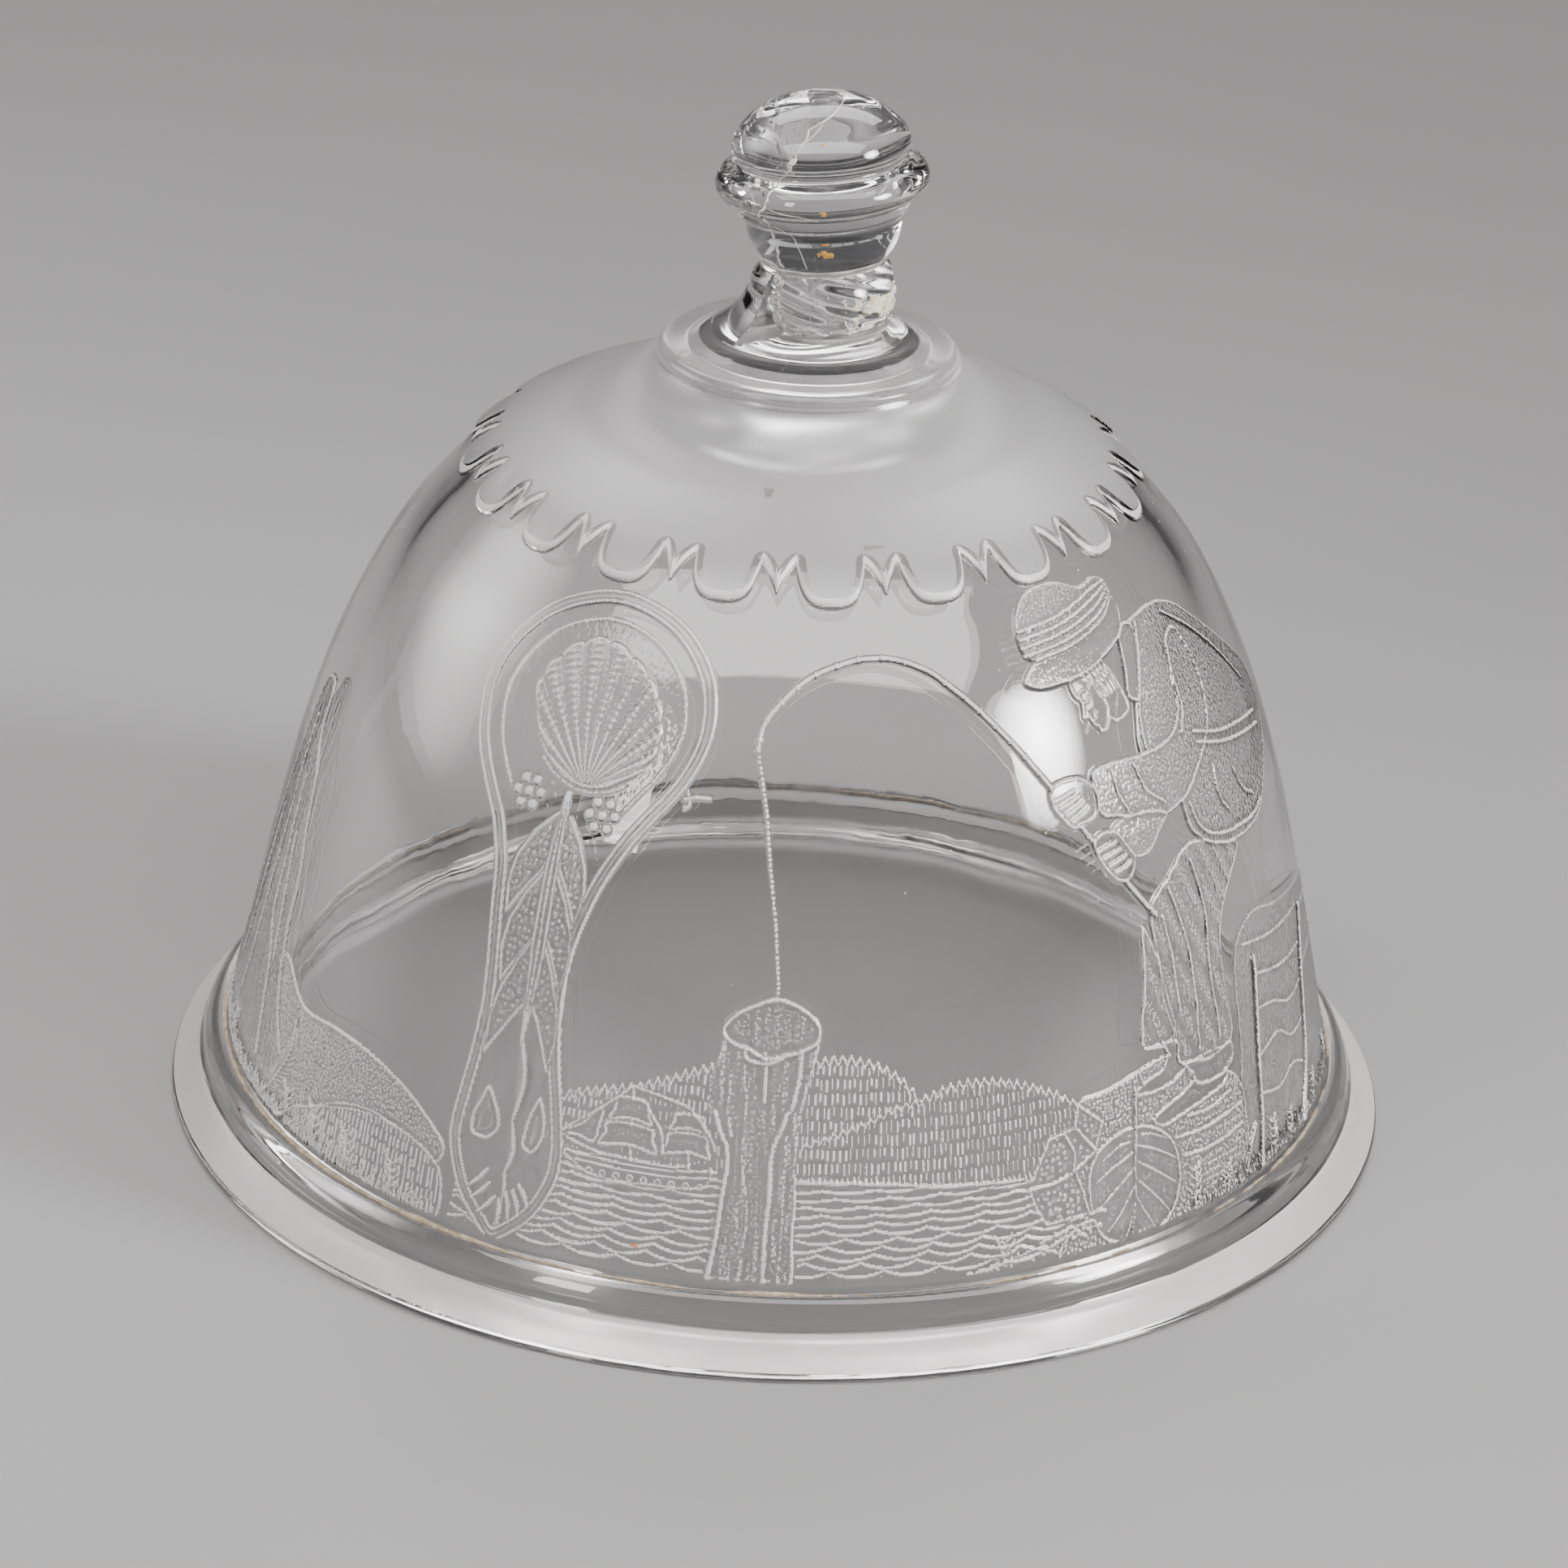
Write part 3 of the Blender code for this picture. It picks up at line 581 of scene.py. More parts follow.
def ship():
    """Two-masted boat drawn in outline, low on the water."""
    lines = blank()
    hull = [(-21.3, 27.3), (-19.2, 27.0), (-17.0, 27.6), (-13.0, 27.4), (-9.6, 27.3),
            (-6.4, 28.4), (-5.9, 26.4), (-6.8, 24.6), (-10.8, 24.2), (-15.2, 24.0),
            (-18.6, 24.4)]
    w, d, x, y = C.inside(hull, 3, margin=0.5)
    on = smooth(d, -0.1, 0.2)
    H[w] = H[w] * (1 - on) + on * (0.12 + 0.04 * FINE[w])
    H[w] += 0.20 * np.clip(1 - (d / 0.3) ** 2, 0, 1)
    for p in ([(-21.0, 27.0), (-16.0, 26.7), (-11.0, 26.6), (-6.2, 27.2)],
              [(-19.8, 26.0), (-15.0, 25.8), (-10.6, 25.7), (-6.3, 26.2)]):
        C.line(lines, p, 0.22, 0.18, steps=5)
    for k in range(9):
        a = -18.6 + 1.42 * k
        C.line(lines, [(a, 24.7), (a + 0.3, 25.2), (a + 0.6, 24.7), (a + 0.3, 24.3)], 0.18, 0.16,
               steps=3, closed=True)
    sails = ([(-16.0, 36.2), (-14.4, 36.5), (-12.9, 36.0), (-12.7, 34.4), (-12.3, 32.9), (-14.3, 33.5), (-16.7, 33.0), (-16.2, 34.6)],
             [(-16.9, 32.3), (-14.4, 32.7), (-12.1, 32.1), (-12.0, 30.6), (-11.5, 28.8), (-14.3, 29.6), (-17.6, 29.0), (-17.0, 30.8)],
             [(-9.9, 35.0), (-8.5, 35.3), (-7.1, 34.9), (-7.0, 33.8), (-6.7, 32.7), (-8.4, 33.2), (-10.4, 32.8), (-10.0, 34.0)],
             [(-10.5, 32.1), (-8.4, 32.5), (-6.5, 32.0), (-6.5, 30.7), (-6.2, 29.1), (-8.3, 29.7), (-11.0, 29.2), (-10.6, 30.7)],
             [(-21.6, 29.4), (-19.4, 31.6), (-17.5, 34.4), (-17.7, 31.4), (-18.2, 29.0), (-19.8, 29.6)])
    w, d, x, y = C.inside([(-22.2, 29.0), (-17.6, 35.0), (-14.5, 38.6), (-8.6, 36.8), (-5.6, 31.0), (-5.8, 27.6),
                           (-21.0, 27.6)], 0, margin=0.5)
    H[w] *= 1 - 0.62 * smooth(d, 0.0, 0.3)
    for sail in sails:
        w, d, x, y = C.inside(sail, 3, margin=0.5)
        on = smooth(d, -0.1, 0.3)
        H[w] = H[w] * (1 - on) + on * (0.10 + 0.05 * FINE[w] + 0.08 * np.sqrt(np.clip(d, 0, 1.4) / 1.4))
        H[w] += 0.27 * np.clip(1 - (d / 0.30) ** 2, 0, 1)
    for p in ([(-14.5, 38.2), (-14.4, 36.4)], [(-14.3, 33.4), (-14.4, 32.6)], [(-14.3, 29.5), (-14.1, 27.4)],
              [(-8.6, 36.4), (-8.5, 35.2)], [(-8.3, 29.6), (-8.2, 27.4)],
              [(-22.0, 29.4), (-19.6, 28.3), (-17.2, 27.6)], [(-21.9, 29.5), (-17.6, 34.4), (-14.5, 38.2)],
              [(-14.5, 38.2), (-11.6, 37.4), (-8.6, 36.3)], [(-8.6, 36.3), (-6.8, 33.6), (-5.6, 30.4)],
              [(-12.6, 35.0), (-11.2, 32.0), (-10.9, 29.0)]):
        C.line(lines, p, 0.27, 0.27, steps=5)
    add(lines)


def patch(outline, level, texture, edge=0.22, rough=0.35, steps=4, rim=0.32, clear=True):
    """A flat raised patch with a textured face and a fine line round it."""
    w, d, x, y = C.inside(outline, steps, margin=0.7)
    on = smooth(d, -0.1, 0.3)
    if clear:
        H[w] *= 1 - on
    t = texture(x, y, w, d) if callable(texture) else texture[w]
    H[w] += on * (level + t)
    H[w] += edge * np.clip(1 - (d / rim) ** 2, 0, 1)
    C.rough[w] = np.where(on > 0.5, rough, C.rough[w])
    return w, d, x, y


def rocks():
    patch([(32.6, 33.6), (36.5, 34.2), (40.5, 35.4), (44.5, 36.2), (49.0, 35.0),
           (52.0, 31.0), (56.0, 27.5), (57.0, 21.0), (55.5, 11.5), (46.0, 10.2),
           (36.0, 10.2), (29.5, 11.5), (31.0, 14.6), (33.2, 16.8), (31.8, 20.0),
           (32.2, 26.0)], 0.12, 0.15 * FINE, rim=0.25)
    patch([(32.6, 33.4), (32.3, 31.6), (32.1, 30.3), (29.0, 29.5), (28.0, 27.0),
           (27.2, 24.9), (26.5, 22.5), (29.1, 22.7), (31.5, 23.6), (34.2, 25.8),
           (35.5, 30.0)], 0.22, 0.12 * COARSE, steps=0)
    patch([(26.5, 22.5), (29.1, 22.7), (31.9, 23.4), (32.6, 20.5), (33.2, 16.8),
           (28.2, 16.6), (27.1, 19.5)], 0.20, 0.13 * COARSE, steps=0)
    lines = blank()
    for p in ([(32.1, 30.3), (34.4, 25.9), (35.0, 23.5)], [(45.2, 23.5), (49.6, 22.9), (56.2, 23.3)],
              [(46.2, 20.2), (51.0, 19.6), (56.0, 20.2)], [(47.0, 26.0), (50.5, 25.4), (54.5, 26.2)],
              [(40.8, 35.2), (41.2, 33.4)], [(30.8, 29.6), (31.8, 26.5), (31.6, 23.8)]):
        C.line(lines, p, 0.3, 0.26)
    # hatched ground right of the leaf
    for k in range(13):
        z = 12.0 + 1.15 * k
        C.line(lines, [(46.0 + 0.15 * k, z), (50.0, z + 0.5), (55.5, z + 0.2)], 0.22,
               0.09, steps=3, taper=[0.3, 1, 0.5])
    add(lines)

    # broad round leaf with fanning veins and its stem
    disc = [(33.4, 19.4), (33.6, 23.0), (34.7, 25.6), (36.8, 27.2), (39.6, 27.6),
            (42.4, 26.2), (44.5, 23.4), (45.2, 20.0), (45.1, 16.6), (44.0, 13.3),
            (42.3, 11.2), (40.0, 10.6), (37.4, 10.7), (35.2, 12.0), (33.8, 15.2)]
    w, d, x, y = C.inside(disc, 5, margin=0.7)
    on = smooth(d, -0.05, 0.3)
    H[w] *= 1 - on
    hub = C.place([(39.7, 27.0)], float(closed_curve(disc, 5)[:, 0].mean()))[0]
    ang = np.degrees(np.arctan2(x - hub[0], hub[1] - y))
    rad = np.hypot(x - hub[0], y - hub[1])
    belly = 0.05 * np.sin(rad * 0.9 + np.abs(ang) / 9.0)
    H[w] += on * (0.16 + belly + 0.055 * FINE[w])
    H[w] += 0.26 * np.clip(1 - ((d - 0.05) / 0.32) ** 2, 0, 1)
    C.rough[w] = np.where(on > 0.5, 0.2, C.rough[w])
    stem = blank()
    C.line(stem, [(40.0, 33.2), (39.8, 30.0), (39.6, 26.4), (39.2, 21.0), (38.9, 15.6), (38.2, 11.4)],
           0.36, 0.34, taper=[1.0, 1.0, 0.8, 0.6, 0.4, 0.3])
    for vein in ([(39.6, 26.2), (41.4, 25.8), (43.6, 24.2)], [(39.5, 24.8), (42.0, 23.2), (44.8, 20.6)],
                 [(39.3, 22.6), (42.0, 19.8), (44.8, 16.6)], [(39.1, 20.0), (41.4, 16.6), (43.4, 13.0)],
                 [(39.0, 17.4), (40.2, 14.2), (41.2, 11.6)], [(39.5, 25.6), (37.4, 25.4), (35.2, 24.0)],
                 [(39.4, 24.0), (36.6, 22.6), (34.2, 21.0)], [(39.2, 21.6), (36.6, 19.0), (34.2, 16.8)],
                 [(39.0, 18.8), (37.2, 15.6), (35.4, 13.2)], [(38.9, 16.2), (38.2, 13.4), (37.4, 11.4)]):
        C.line(stem, vein, 0.24, 0.13, steps=5, taper=[1.0, 0.9, 0.5])
    add(stem)


def sprig(base, top, lean=0.0, size=1.0, layer=None):
    """Small plant: a stalk with paired leaves."""
    (a0, z0), (a1, z1) = base, top
    C.line(layer, [(a0, z0), ((a0 + a1) / 2 + lean, (z0 + z1) / 2), (a1, z1)], 0.26 * size, 0.32, steps=4)
    for k in range(4):
        f = 0.30 + 0.2 * k
        a, z = a0 + (a1 - a0) * f + lean * 4 * f * (1 - f), z0 + (z1 - z0) * f
        for side in (-1, 1):
            C.line(layer, [(a, z), (a + side * 0.75 * size, z + 0.75 * size),
                           (a + side * 1.1 * size, z + 1.7 * size)], 0.26 * size, 0.28,
                   steps=3, taper=[0.7, 1.0, 0.4])


def grass_and_sprigs():
    lines = blank()
    rng = np.random.default_rng(31)
    for a in np.concatenate([np.arange(-92.0, -35.0, 0.42), np.arange(40.0, 98.0, 0.42)]):
        if 33.5 < a < 46.5:
            continue
        for row in range(2):
            z = 9.9 + 1.1 * row + 0.8 * rng.random()
            hgt = 1.2 + 1.8 * rng.random()
            tilt = 0.6 * (rng.random() - 0.5)
            C.line(lines, [(a + 0.3 * rng.random(), z), (a + tilt, z + hgt)], 0.24, 0.24, steps=0,
                   taper=[1.0, 0.4])
    for base, top, size in (((-52.8, 11.4), (-53.8, 17.2), 1.0), ((-47.3, 10.8), (-47.9, 17.0), 1.0),
                            ((-40.6, 10.8), (-41.0, 16.6), 0.9), ((-58.4, 11.6), (-58.9, 16.6), 0.8),
                            ((47.0, 11.6), (47.5, 17.8), 0.9), ((52.1, 11.0), (52.5, 15.4), 0.8),
                            ((61.9, 11.0), (62.1, 17.0), 0.9), ((66.0, 11.0), (66.4, 15.5), 0.8),
                            ((24.4, 10.8), (23.4, 15.6), 0.9), ((29.4, 10.6), (29.9, 14.4), 0.7),
                            ((74.5, 11.0), (75.0, 16.0), 0.9), ((84.0, 11.0), (83.4, 15.6), 0.9),
                            ((-78.0, 11.0), (-77.4, 16.4), 0.9), ((-86.0, 11.0), (-86.6, 15.4), 0.8)):
        sprig(base, top, 0.15, size, lines)
    # rough bank running into the water at the rocks' foot
    for k in range(26):
        a = 18.5 + 0.6 * k
        z = 10.4 + 0.24 * k * (0.6 + 0.5 * rng.random())
        C.line(lines, [(a, z), (a + 0.9, z + 0.8 * rng.random()), (a + 1.6, z - 0.2)], 0.35, 0.3, steps=3)
    add(lines)


def fence():
    patch([(56.0, 12.0), (57.6, 30.0), (59.4, 46.5), (64.0, 49.0), (70.0, 47.0), (77.0, 45.0),
           (88.0, 41.0), (96.0, 34.0), (98.0, 12.0)], 0.05, 0.07 * FINE, edge=0.10, rim=0.25)
    lines = blank()
    C.line(lines, [(62.6, 42.6), (61.6, 34.9), (60.6, 26.4), (60.0, 18.6), (58.8, 10.8)], 0.62, 0.5)
    C.line(lines, [(80.2, 40.5), (77.0, 33.5), (75.0, 26.0), (73.2, 19.0), (70.0, 10.8)], 0.62, 0.5)
    C.line(lines, [(58.6, 18.4), (56.8, 15.3), (55.1, 12.2)], 0.42, 0.4)
    for p in ([(60.6, 45.6), (68.3, 43.4), (78.9, 41.5)], [(62.5, 40.0), (69.0, 37.6), (78.4, 36.0)],
              [(61.9, 34.7), (66.0, 33.6), (70.5, 31.0), (76.0, 31.2)],
              [(61.2, 27.6), (66.0, 28.6), (70.0, 25.6), (74.4, 25.6)],
              [(60.4, 22.0), (65.0, 20.4), (69.0, 21.4), (73.0, 19.2)],
              [(80.2, 40.0), (86.0, 38.6), (93.0, 36.0)], [(77.0, 32.4), (84.0, 31.8), (93.0, 29.6)]):
        C.line(lines, p, 0.30, 0.13)
    add(lines)


def angler():
    """A generic angler in hat, coat and trousers, holding the bent rod."""
    far = [(43.6, 56.0), (45.1, 51.0), (45.4, 44.7), (46.2, 38.4), (44.6, 37.8), (41.9, 38.6),
           (41.9, 42.1), (42.8, 47.2), (43.2, 52.0)]

    def folds(x, y, w, d):
        return (0.07 * np.sin((x * 0.8 + y * 0.35) * 2 * math.pi / 2.6) + 0.085 * FINE[w]
                + 0.10 * np.sqrt(np.clip(d, 0, 2) / 2))

    def cloth(x, y, w, d):
        return 0.10 * FINE[w] + 0.14 * np.sqrt(np.clip(d, 0, 2.5) / 2.5)

    patch(far, 0.08, folds)
    near = [(45.3, 58.5), (48.7, 61.4), (53.3, 64.6), (60.0, 62.0), (63.4, 60.2), (60.4, 56.6),
            (57.6, 53.0), (56.2, 49.0), (55.9, 42.0), (55.8, 33.6), (51.2, 33.6), (46.8, 34.4),
            (46.5, 40.3), (45.6, 46.9), (45.1, 53.3)]
    patch(near, 0.14, folds)
    boot = [(41.9, 38.4), (44.7, 37.7), (44.9, 35.9), (44.0, 34.3), (41.9, 33.7), (39.9, 32.4),
            (42.0, 31.8), (45.5, 32.0), (47.4, 33.4), (46.6, 34.6), (46.6, 37.6)]
    patch(boot, 0.12, 0.05 * FINE, rough=0.05)
    boot = [(47.7, 33.7), (48.8, 31.2), (46.9, 29.7), (44.4, 28.8), (42.3, 27.6), (43.2, 26.2),
            (46.6, 26.6), (50.2, 27.2), (53.8, 28.0), (54.4, 30.1), (55.8, 31.0), (55.6, 33.2), (51.5, 32.8)]
    patch(boot, 0.16, 0.05 * FINE, rough=0.05)

    coat = [(53.2, 94.6), (56.9, 95.2), (61.1, 95.5), (65.1, 95.1), (68.5, 93.7), (71.8, 90.8),
            (75.6, 87.1), (79.7, 83.0), (83.3, 78.9), (84.4, 74.8), (83.6, 70.7), (80.2, 67.0),
            (76.0, 63.9), (72.6, 61.4), (68.7, 60.4), (63.6, 60.8), (59.6, 62.0), (56.3, 64.1),
            (54.4, 66.7), (54.0, 70.0), (52.4, 73.6), (49.0, 77.9), (48.8, 80.4), (50.4, 85.4), (52.4, 89.4)]
    w, d, x, y = patch(coat, 0.14, cloth)
    sleeve = [(61.0, 90.4), (64.6, 91.6), (66.0, 88.0), (65.8, 83.0), (64.0, 78.6), (59.0, 74.2),
              (54.4, 71.0), (50.1, 70.0), (45.5, 71.2), (42.3, 72.5), (40.5, 73.0), (39.5, 74.9),
              (39.6, 77.3), (40.2, 79.2), (43.4, 79.6), (47.6, 79.2), (52.4, 79.0), (56.6, 80.4),
              (59.2, 84.2)]
    patch(sleeve, 0.26, cloth)
    cuff = [(43.4, 71.9), (50.4, 70.2), (48.6, 68.2), (46.2, 66.0), (44.3, 66.1), (42.4, 68.0), (41.2, 70.6)]
    patch(cuff, 0.22, cloth)
    lines = blank()
    for p in ([(56.9, 94.6), (54.8, 92.0), (52.8, 88.7), (51.0, 85.4), (50.0, 82.1), (49.8, 79.6)],
              [(61.0, 90.4), (59.4, 86.5), (59.2, 82.4), (57.4, 79.4)],
              [(72.4, 62.4), (69.4, 61.7), (64.2, 62.3), (60.0, 63.2), (57.1, 64.9), (55.7, 67.1), (55.2, 69.8)],
              [(59.8, 78.4), (66.0, 76.0), (72.6, 74.4), (80.0, 72.6)],
              [(60.0, 76.8), (66.0, 74.4), (72.6, 72.6), (79.6, 70.8)],
              [(64.0, 94.0), (69.0, 90.2), (74.4, 84.6), (79.4, 78.0)],
              [(66.6, 70.0), (68.0, 66.4), (70.6, 64.2)], [(62.0, 72.6), (61.6, 68.2), (63.2, 65.2)],
              [(46.8, 78.4), (47.8, 74.6), (50.6, 71.8)], [(43.0, 78.6), (43.2, 75.4), (44.2, 72.8)],
              [(48.4, 60.0), (50.0, 52.0), (50.4, 44.0), (50.0, 35.0)],
              [(53.0, 62.4), (54.0, 55.0), (53.4, 46.0), (53.8, 35.0)],
              [(46.8, 56.4), (47.4, 49.0), (47.6, 42.0)], [(44.4, 38.6), (45.4, 36.0)],
              [(48.0, 32.4), (49.4, 29.9), (53.5, 29.4), (55.6, 30.4)]):
        C.line(lines, p, 0.34, 0.22)
    add(lines)

    # collar
    collar = [(52.6, 95.0), (55.9, 94.7), (54.6, 91.6), (52.6, 88.4), (51.0, 86.0), (49.6, 86.8),
              (50.6, 89.8), (51.6, 92.6)]
    patch(collar, 0.30, 0.05 * FINE, steps=3, rough=0.1)

    # head: plain standard proportions, in its own frame, bent forward
    size, lean, at = 10.4, math.radians(24.0), (45.0, 87.9)
    face = [(0.28, 0.58), (0.375, 0.42), (0.375, 0.29), (0.345, 0.225), (0.40, 0.11), (0.465, 0.01),
            (0.385, -0.04), (0.39, -0.12), (0.378, -0.19), (0.345, -0.24), (0.35, -0.32),
            (0.24, -0.365), (0.09, -0.30), (0.03, -0.40), (-0.30, -0.42), (-0.40, -0.10),
            (-0.42, 0.30), (-0.20, 0.60)]

    def head(p):
        u, v = -p[0] * size, p[1] * size
        return (at[0] + math.degrees((u * math.cos(lean) - v * math.sin(lean)) / C.radius(at[1])),
                float(np.interp(C.arc(at[1]) + u * math.sin(lean) + v * math.cos(lean), C.s, C.z)))

    w, d, x, y = patch([head(p) for p in face], 0.22, lambda x, y, w, d: 0.12 * smooth(d, 0.3, 3.0),
                       edge=0.20, steps=4, rough=0.02, rim=0.30)
    skin, deep = w, d
    lines = blank()
    for p, wide, tall in (([(0.325, 0.30), (0.26, 0.320), (0.19, 0.30)], 0.17, 0.12),
                          ([(0.315, 0.170), (0.26, 0.150), (0.20, 0.180)], 0.19, 0.14),
                          ([(0.365, 0.015), (0.345, -0.01)], 0.16, 0.10),
                          ([(0.375, -0.12), (0.31, -0.125), (0.27, -0.11)], 0.18, 0.13),
                          ([(0.25, -0.345), (0.10, -0.255), (0.01, -0.14), (-0.01, -0.05)], 0.18, 0.11)):
        C.line(lines, [head(q) for q in p], wide, tall, steps=4)
    C.line(lines, [head(q) for q in ((-0.02, 0.17), (-0.075, 0.20), (-0.115, 0.13), (-0.09, 0.04), (-0.04, -0.01),
                                     (-0.015, 0.06))], 0.19, 0.15, steps=4, closed=True)
    # short wavy hair behind the ear
    for k in range(4):
        x0 = -0.14 - 0.08 * k
        C.line(lines, [head(q) for q in ((x0 + 0.02, 0.44), (x0 - 0.02, 0.32), (x0 + 0.015, 0.20), (x0 - 0.015, 0.08),
                                         (x0 + 0.01, -0.04 - 0.02 * k))], 0.19, 0.14, steps=4)
    for k in range(2):
        x0 = 0.07 - 0.09 * k
        C.line(lines, [head(q) for q in ((x0, 0.46), (x0 - 0.03, 0.36), (x0, 0.27))], 0.19, 0.14, steps=4)
    add(lines)
    # painted highlight: the face's raised lines get the soft whiter glass, the skin stays clear
    GLINT_TONE[skin] = np.where(deep > 0.30, np.where(lines[skin] > 0.045, 4, 1), GLINT_TONE[skin])

    # hat: curled brim, grooved band and a stippled crown
    crown = [(34.9, 99.4), (34.2, 97.4), (34.6, 95.4), (36.4, 94.4), (41.4, 94.8), (46.6, 95.6),
             (51.4, 96.8), (54.8, 98.8), (55.6, 100.4), (53.6, 101.4), (49.6, 101.0), (45.6, 102.4),
             (41.2, 102.7), (37.6, 101.9)]
    w, d, x, y = patch(crown, 0.24, lambda x, y, w, d: 0.12 * FINE[w] + 0.2 * np.sqrt(np.clip(d, 0, 3) / 3))
    GLINT_TONE[w] = np.where(d > 0, 0, GLINT_TONE[w])
    brim = [(33.2, 92.3), (34.4, 93.6), (36.4, 94.6), (41.4, 95.0), (46.6, 95.8), (51.4, 97.0),
            (55.2, 98.6), (55.0, 96.6), (52.4, 94.2), (47.8, 92.6), (43.4, 91.6), (39.0, 91.2),
            (35.2, 91.3)]
    w, d, x, y = patch(brim, 0.36, 0.06 * FINE, rough=0.12)
    GLINT_TONE[w] = np.where(d > 0, 0, GLINT_TONE[w])
    lines = blank()
    for k in range(4):
        z = 0.95 * k
        C.line(lines, [(34.4 + 0.1 * k, 95.3 + z), (41.6, 95.8 + z), (47.0, 96.6 + z), (51.6, 97.7 + z * 0.9),
                       (54.9, 99.1 + 0.5 * z)], 0.32, 0.24)
    add(lines)

    # rod, line and hands
    rod = blank()
    path = [(-4.1, 86.0), (-3.9, 87.5), (-3.6, 89.0), (-2.7, 90.6), (-1.6, 91.9), (0.0, 93.5),
            (2.0, 94.9), (3.9, 95.8), (6.1, 96.5), (9.3, 97.2), (12.7, 97.3), (15.3, 96.9),
            (17.7, 96.1), (19.8, 95.1), (21.7, 93.6), (23.8, 91.8), (25.9, 89.6), (27.9, 87.2),
            (29.9, 84.6), (31.5, 82.1), (33.1, 79.6), (34.4, 77.2), (36.9, 72.6), (39.2, 68.4),
            (41.2, 64.9), (43.7, 60.6), (45.7, 57.2)]
    C.line(rod, path, 0.50, 0.46, steps=4, taper=[0.75, 0.85, 0.95, 1.0, 1.05, 1.1, 1.1])
    add(rod)
    rings = blank()
    dense = curve(path, 30)
    xy = C.place(dense, 15.0)
    run = np.concatenate([[0], np.cumsum(np.hypot(*np.diff(xy, axis=0).T))])
    for k, s in enumerate(np.arange(1.5, run[-1] - 12.0, 3.4)):
        i = int(np.searchsorted(run, s))
        p, q = dense[i], dense[min(i + 6, len(dense) - 1)]
        nx, nz = -(q[1] - p[1]), (q[0] - p[0]) * 0.9
        m = math.hypot(nx, nz) or 1.0
        C.line(rings, [(p[0] - nx / m * 0.34, p[1] - nz / m * 0.34),
                       (p[0] + nx / m * 0.34, p[1] + nz / m * 0.34)], 0.24, 0.24, steps=0)
    add(rings)
    thread = [(-4.0, 86.0), (-3.6, 84.0), (-3.0, 80.9), (-2.5, 78.4), (-2.0, 74.1), (-1.5, 69.7),
              (-1.1, 66.3), (-0.7, 62.9), (-0.4, 58.7), (-0.1, 54.6), (-0.1, 52.9)]
    beads = blank()
    dense = curve(thread, 24)
    xy = C.place(dense, -2.0)
    run = np.concatenate([[0], np.cumsum(np.hypot(*np.diff(xy, axis=0).T))])
    for s in np.arange(0.0, run[-1], 0.78):
        i = min(int(np.searchsorted(run, s)), len(dense) - 2)
        C.line(beads, [dense[i], dense[i + 1]], 0.29, 0.30, steps=0)
    C.line(beads, thread, 0.17, 0.09)
    add(beads)

    hand = [(33.6, 78.7), (33.3, 76.5), (34.4, 74.2), (35.8, 72.6), (37.4, 72.8), (39.4, 73.6),
            (39.8, 77.0), (37.8, 79.1)]
    patch(hand, 0.26, lambda x, y, w, d: 0.10 * np.sqrt(np.clip(d, 0, 2) / 2), rough=0.05)
    hand = [(38.3, 70.0), (38.5, 68.0), (39.7, 65.4), (41.2, 63.6), (42.8, 63.7), (44.0, 65.7),
            (43.0, 68.0), (41.4, 70.6), (39.6, 70.9)]
    patch(hand, 0.26, lambda x, y, w, d: 0.10 * np.sqrt(np.clip(d, 0, 2) / 2), rough=0.05)
    lines = blank()
    for k in range(4):
        C.line(lines, [(33.6 + 0.7 * k, 76.8 - 1.1 * k), (35.2 + 0.7 * k, 77.2 - 1.0 * k),
                       (36.6 + 0.6 * k, 77.6 - 0.9 * k)], 0.34, 0.22, steps=3)
        C.line(lines, [(38.6 + 0.7 * k, 68.6 - 1.2 * k), (40.2 + 0.7 * k, 69.0 - 1.2 * k),
                       (41.4 + 0.6 * k, 69.2 - 1.1 * k)], 0.34, 0.22, steps=3)
    C.line(lines, [(-12.4, 78.8), (-11.0, 79.2), (-9.4, 79.3)], 0.32, 0.2, steps=3)
    C.line(lines, [(-12.2, 79.8), (-11.8, 78.2), (-12.3, 77.6)], 0.28, 0.2, steps=3)
    add(lines)


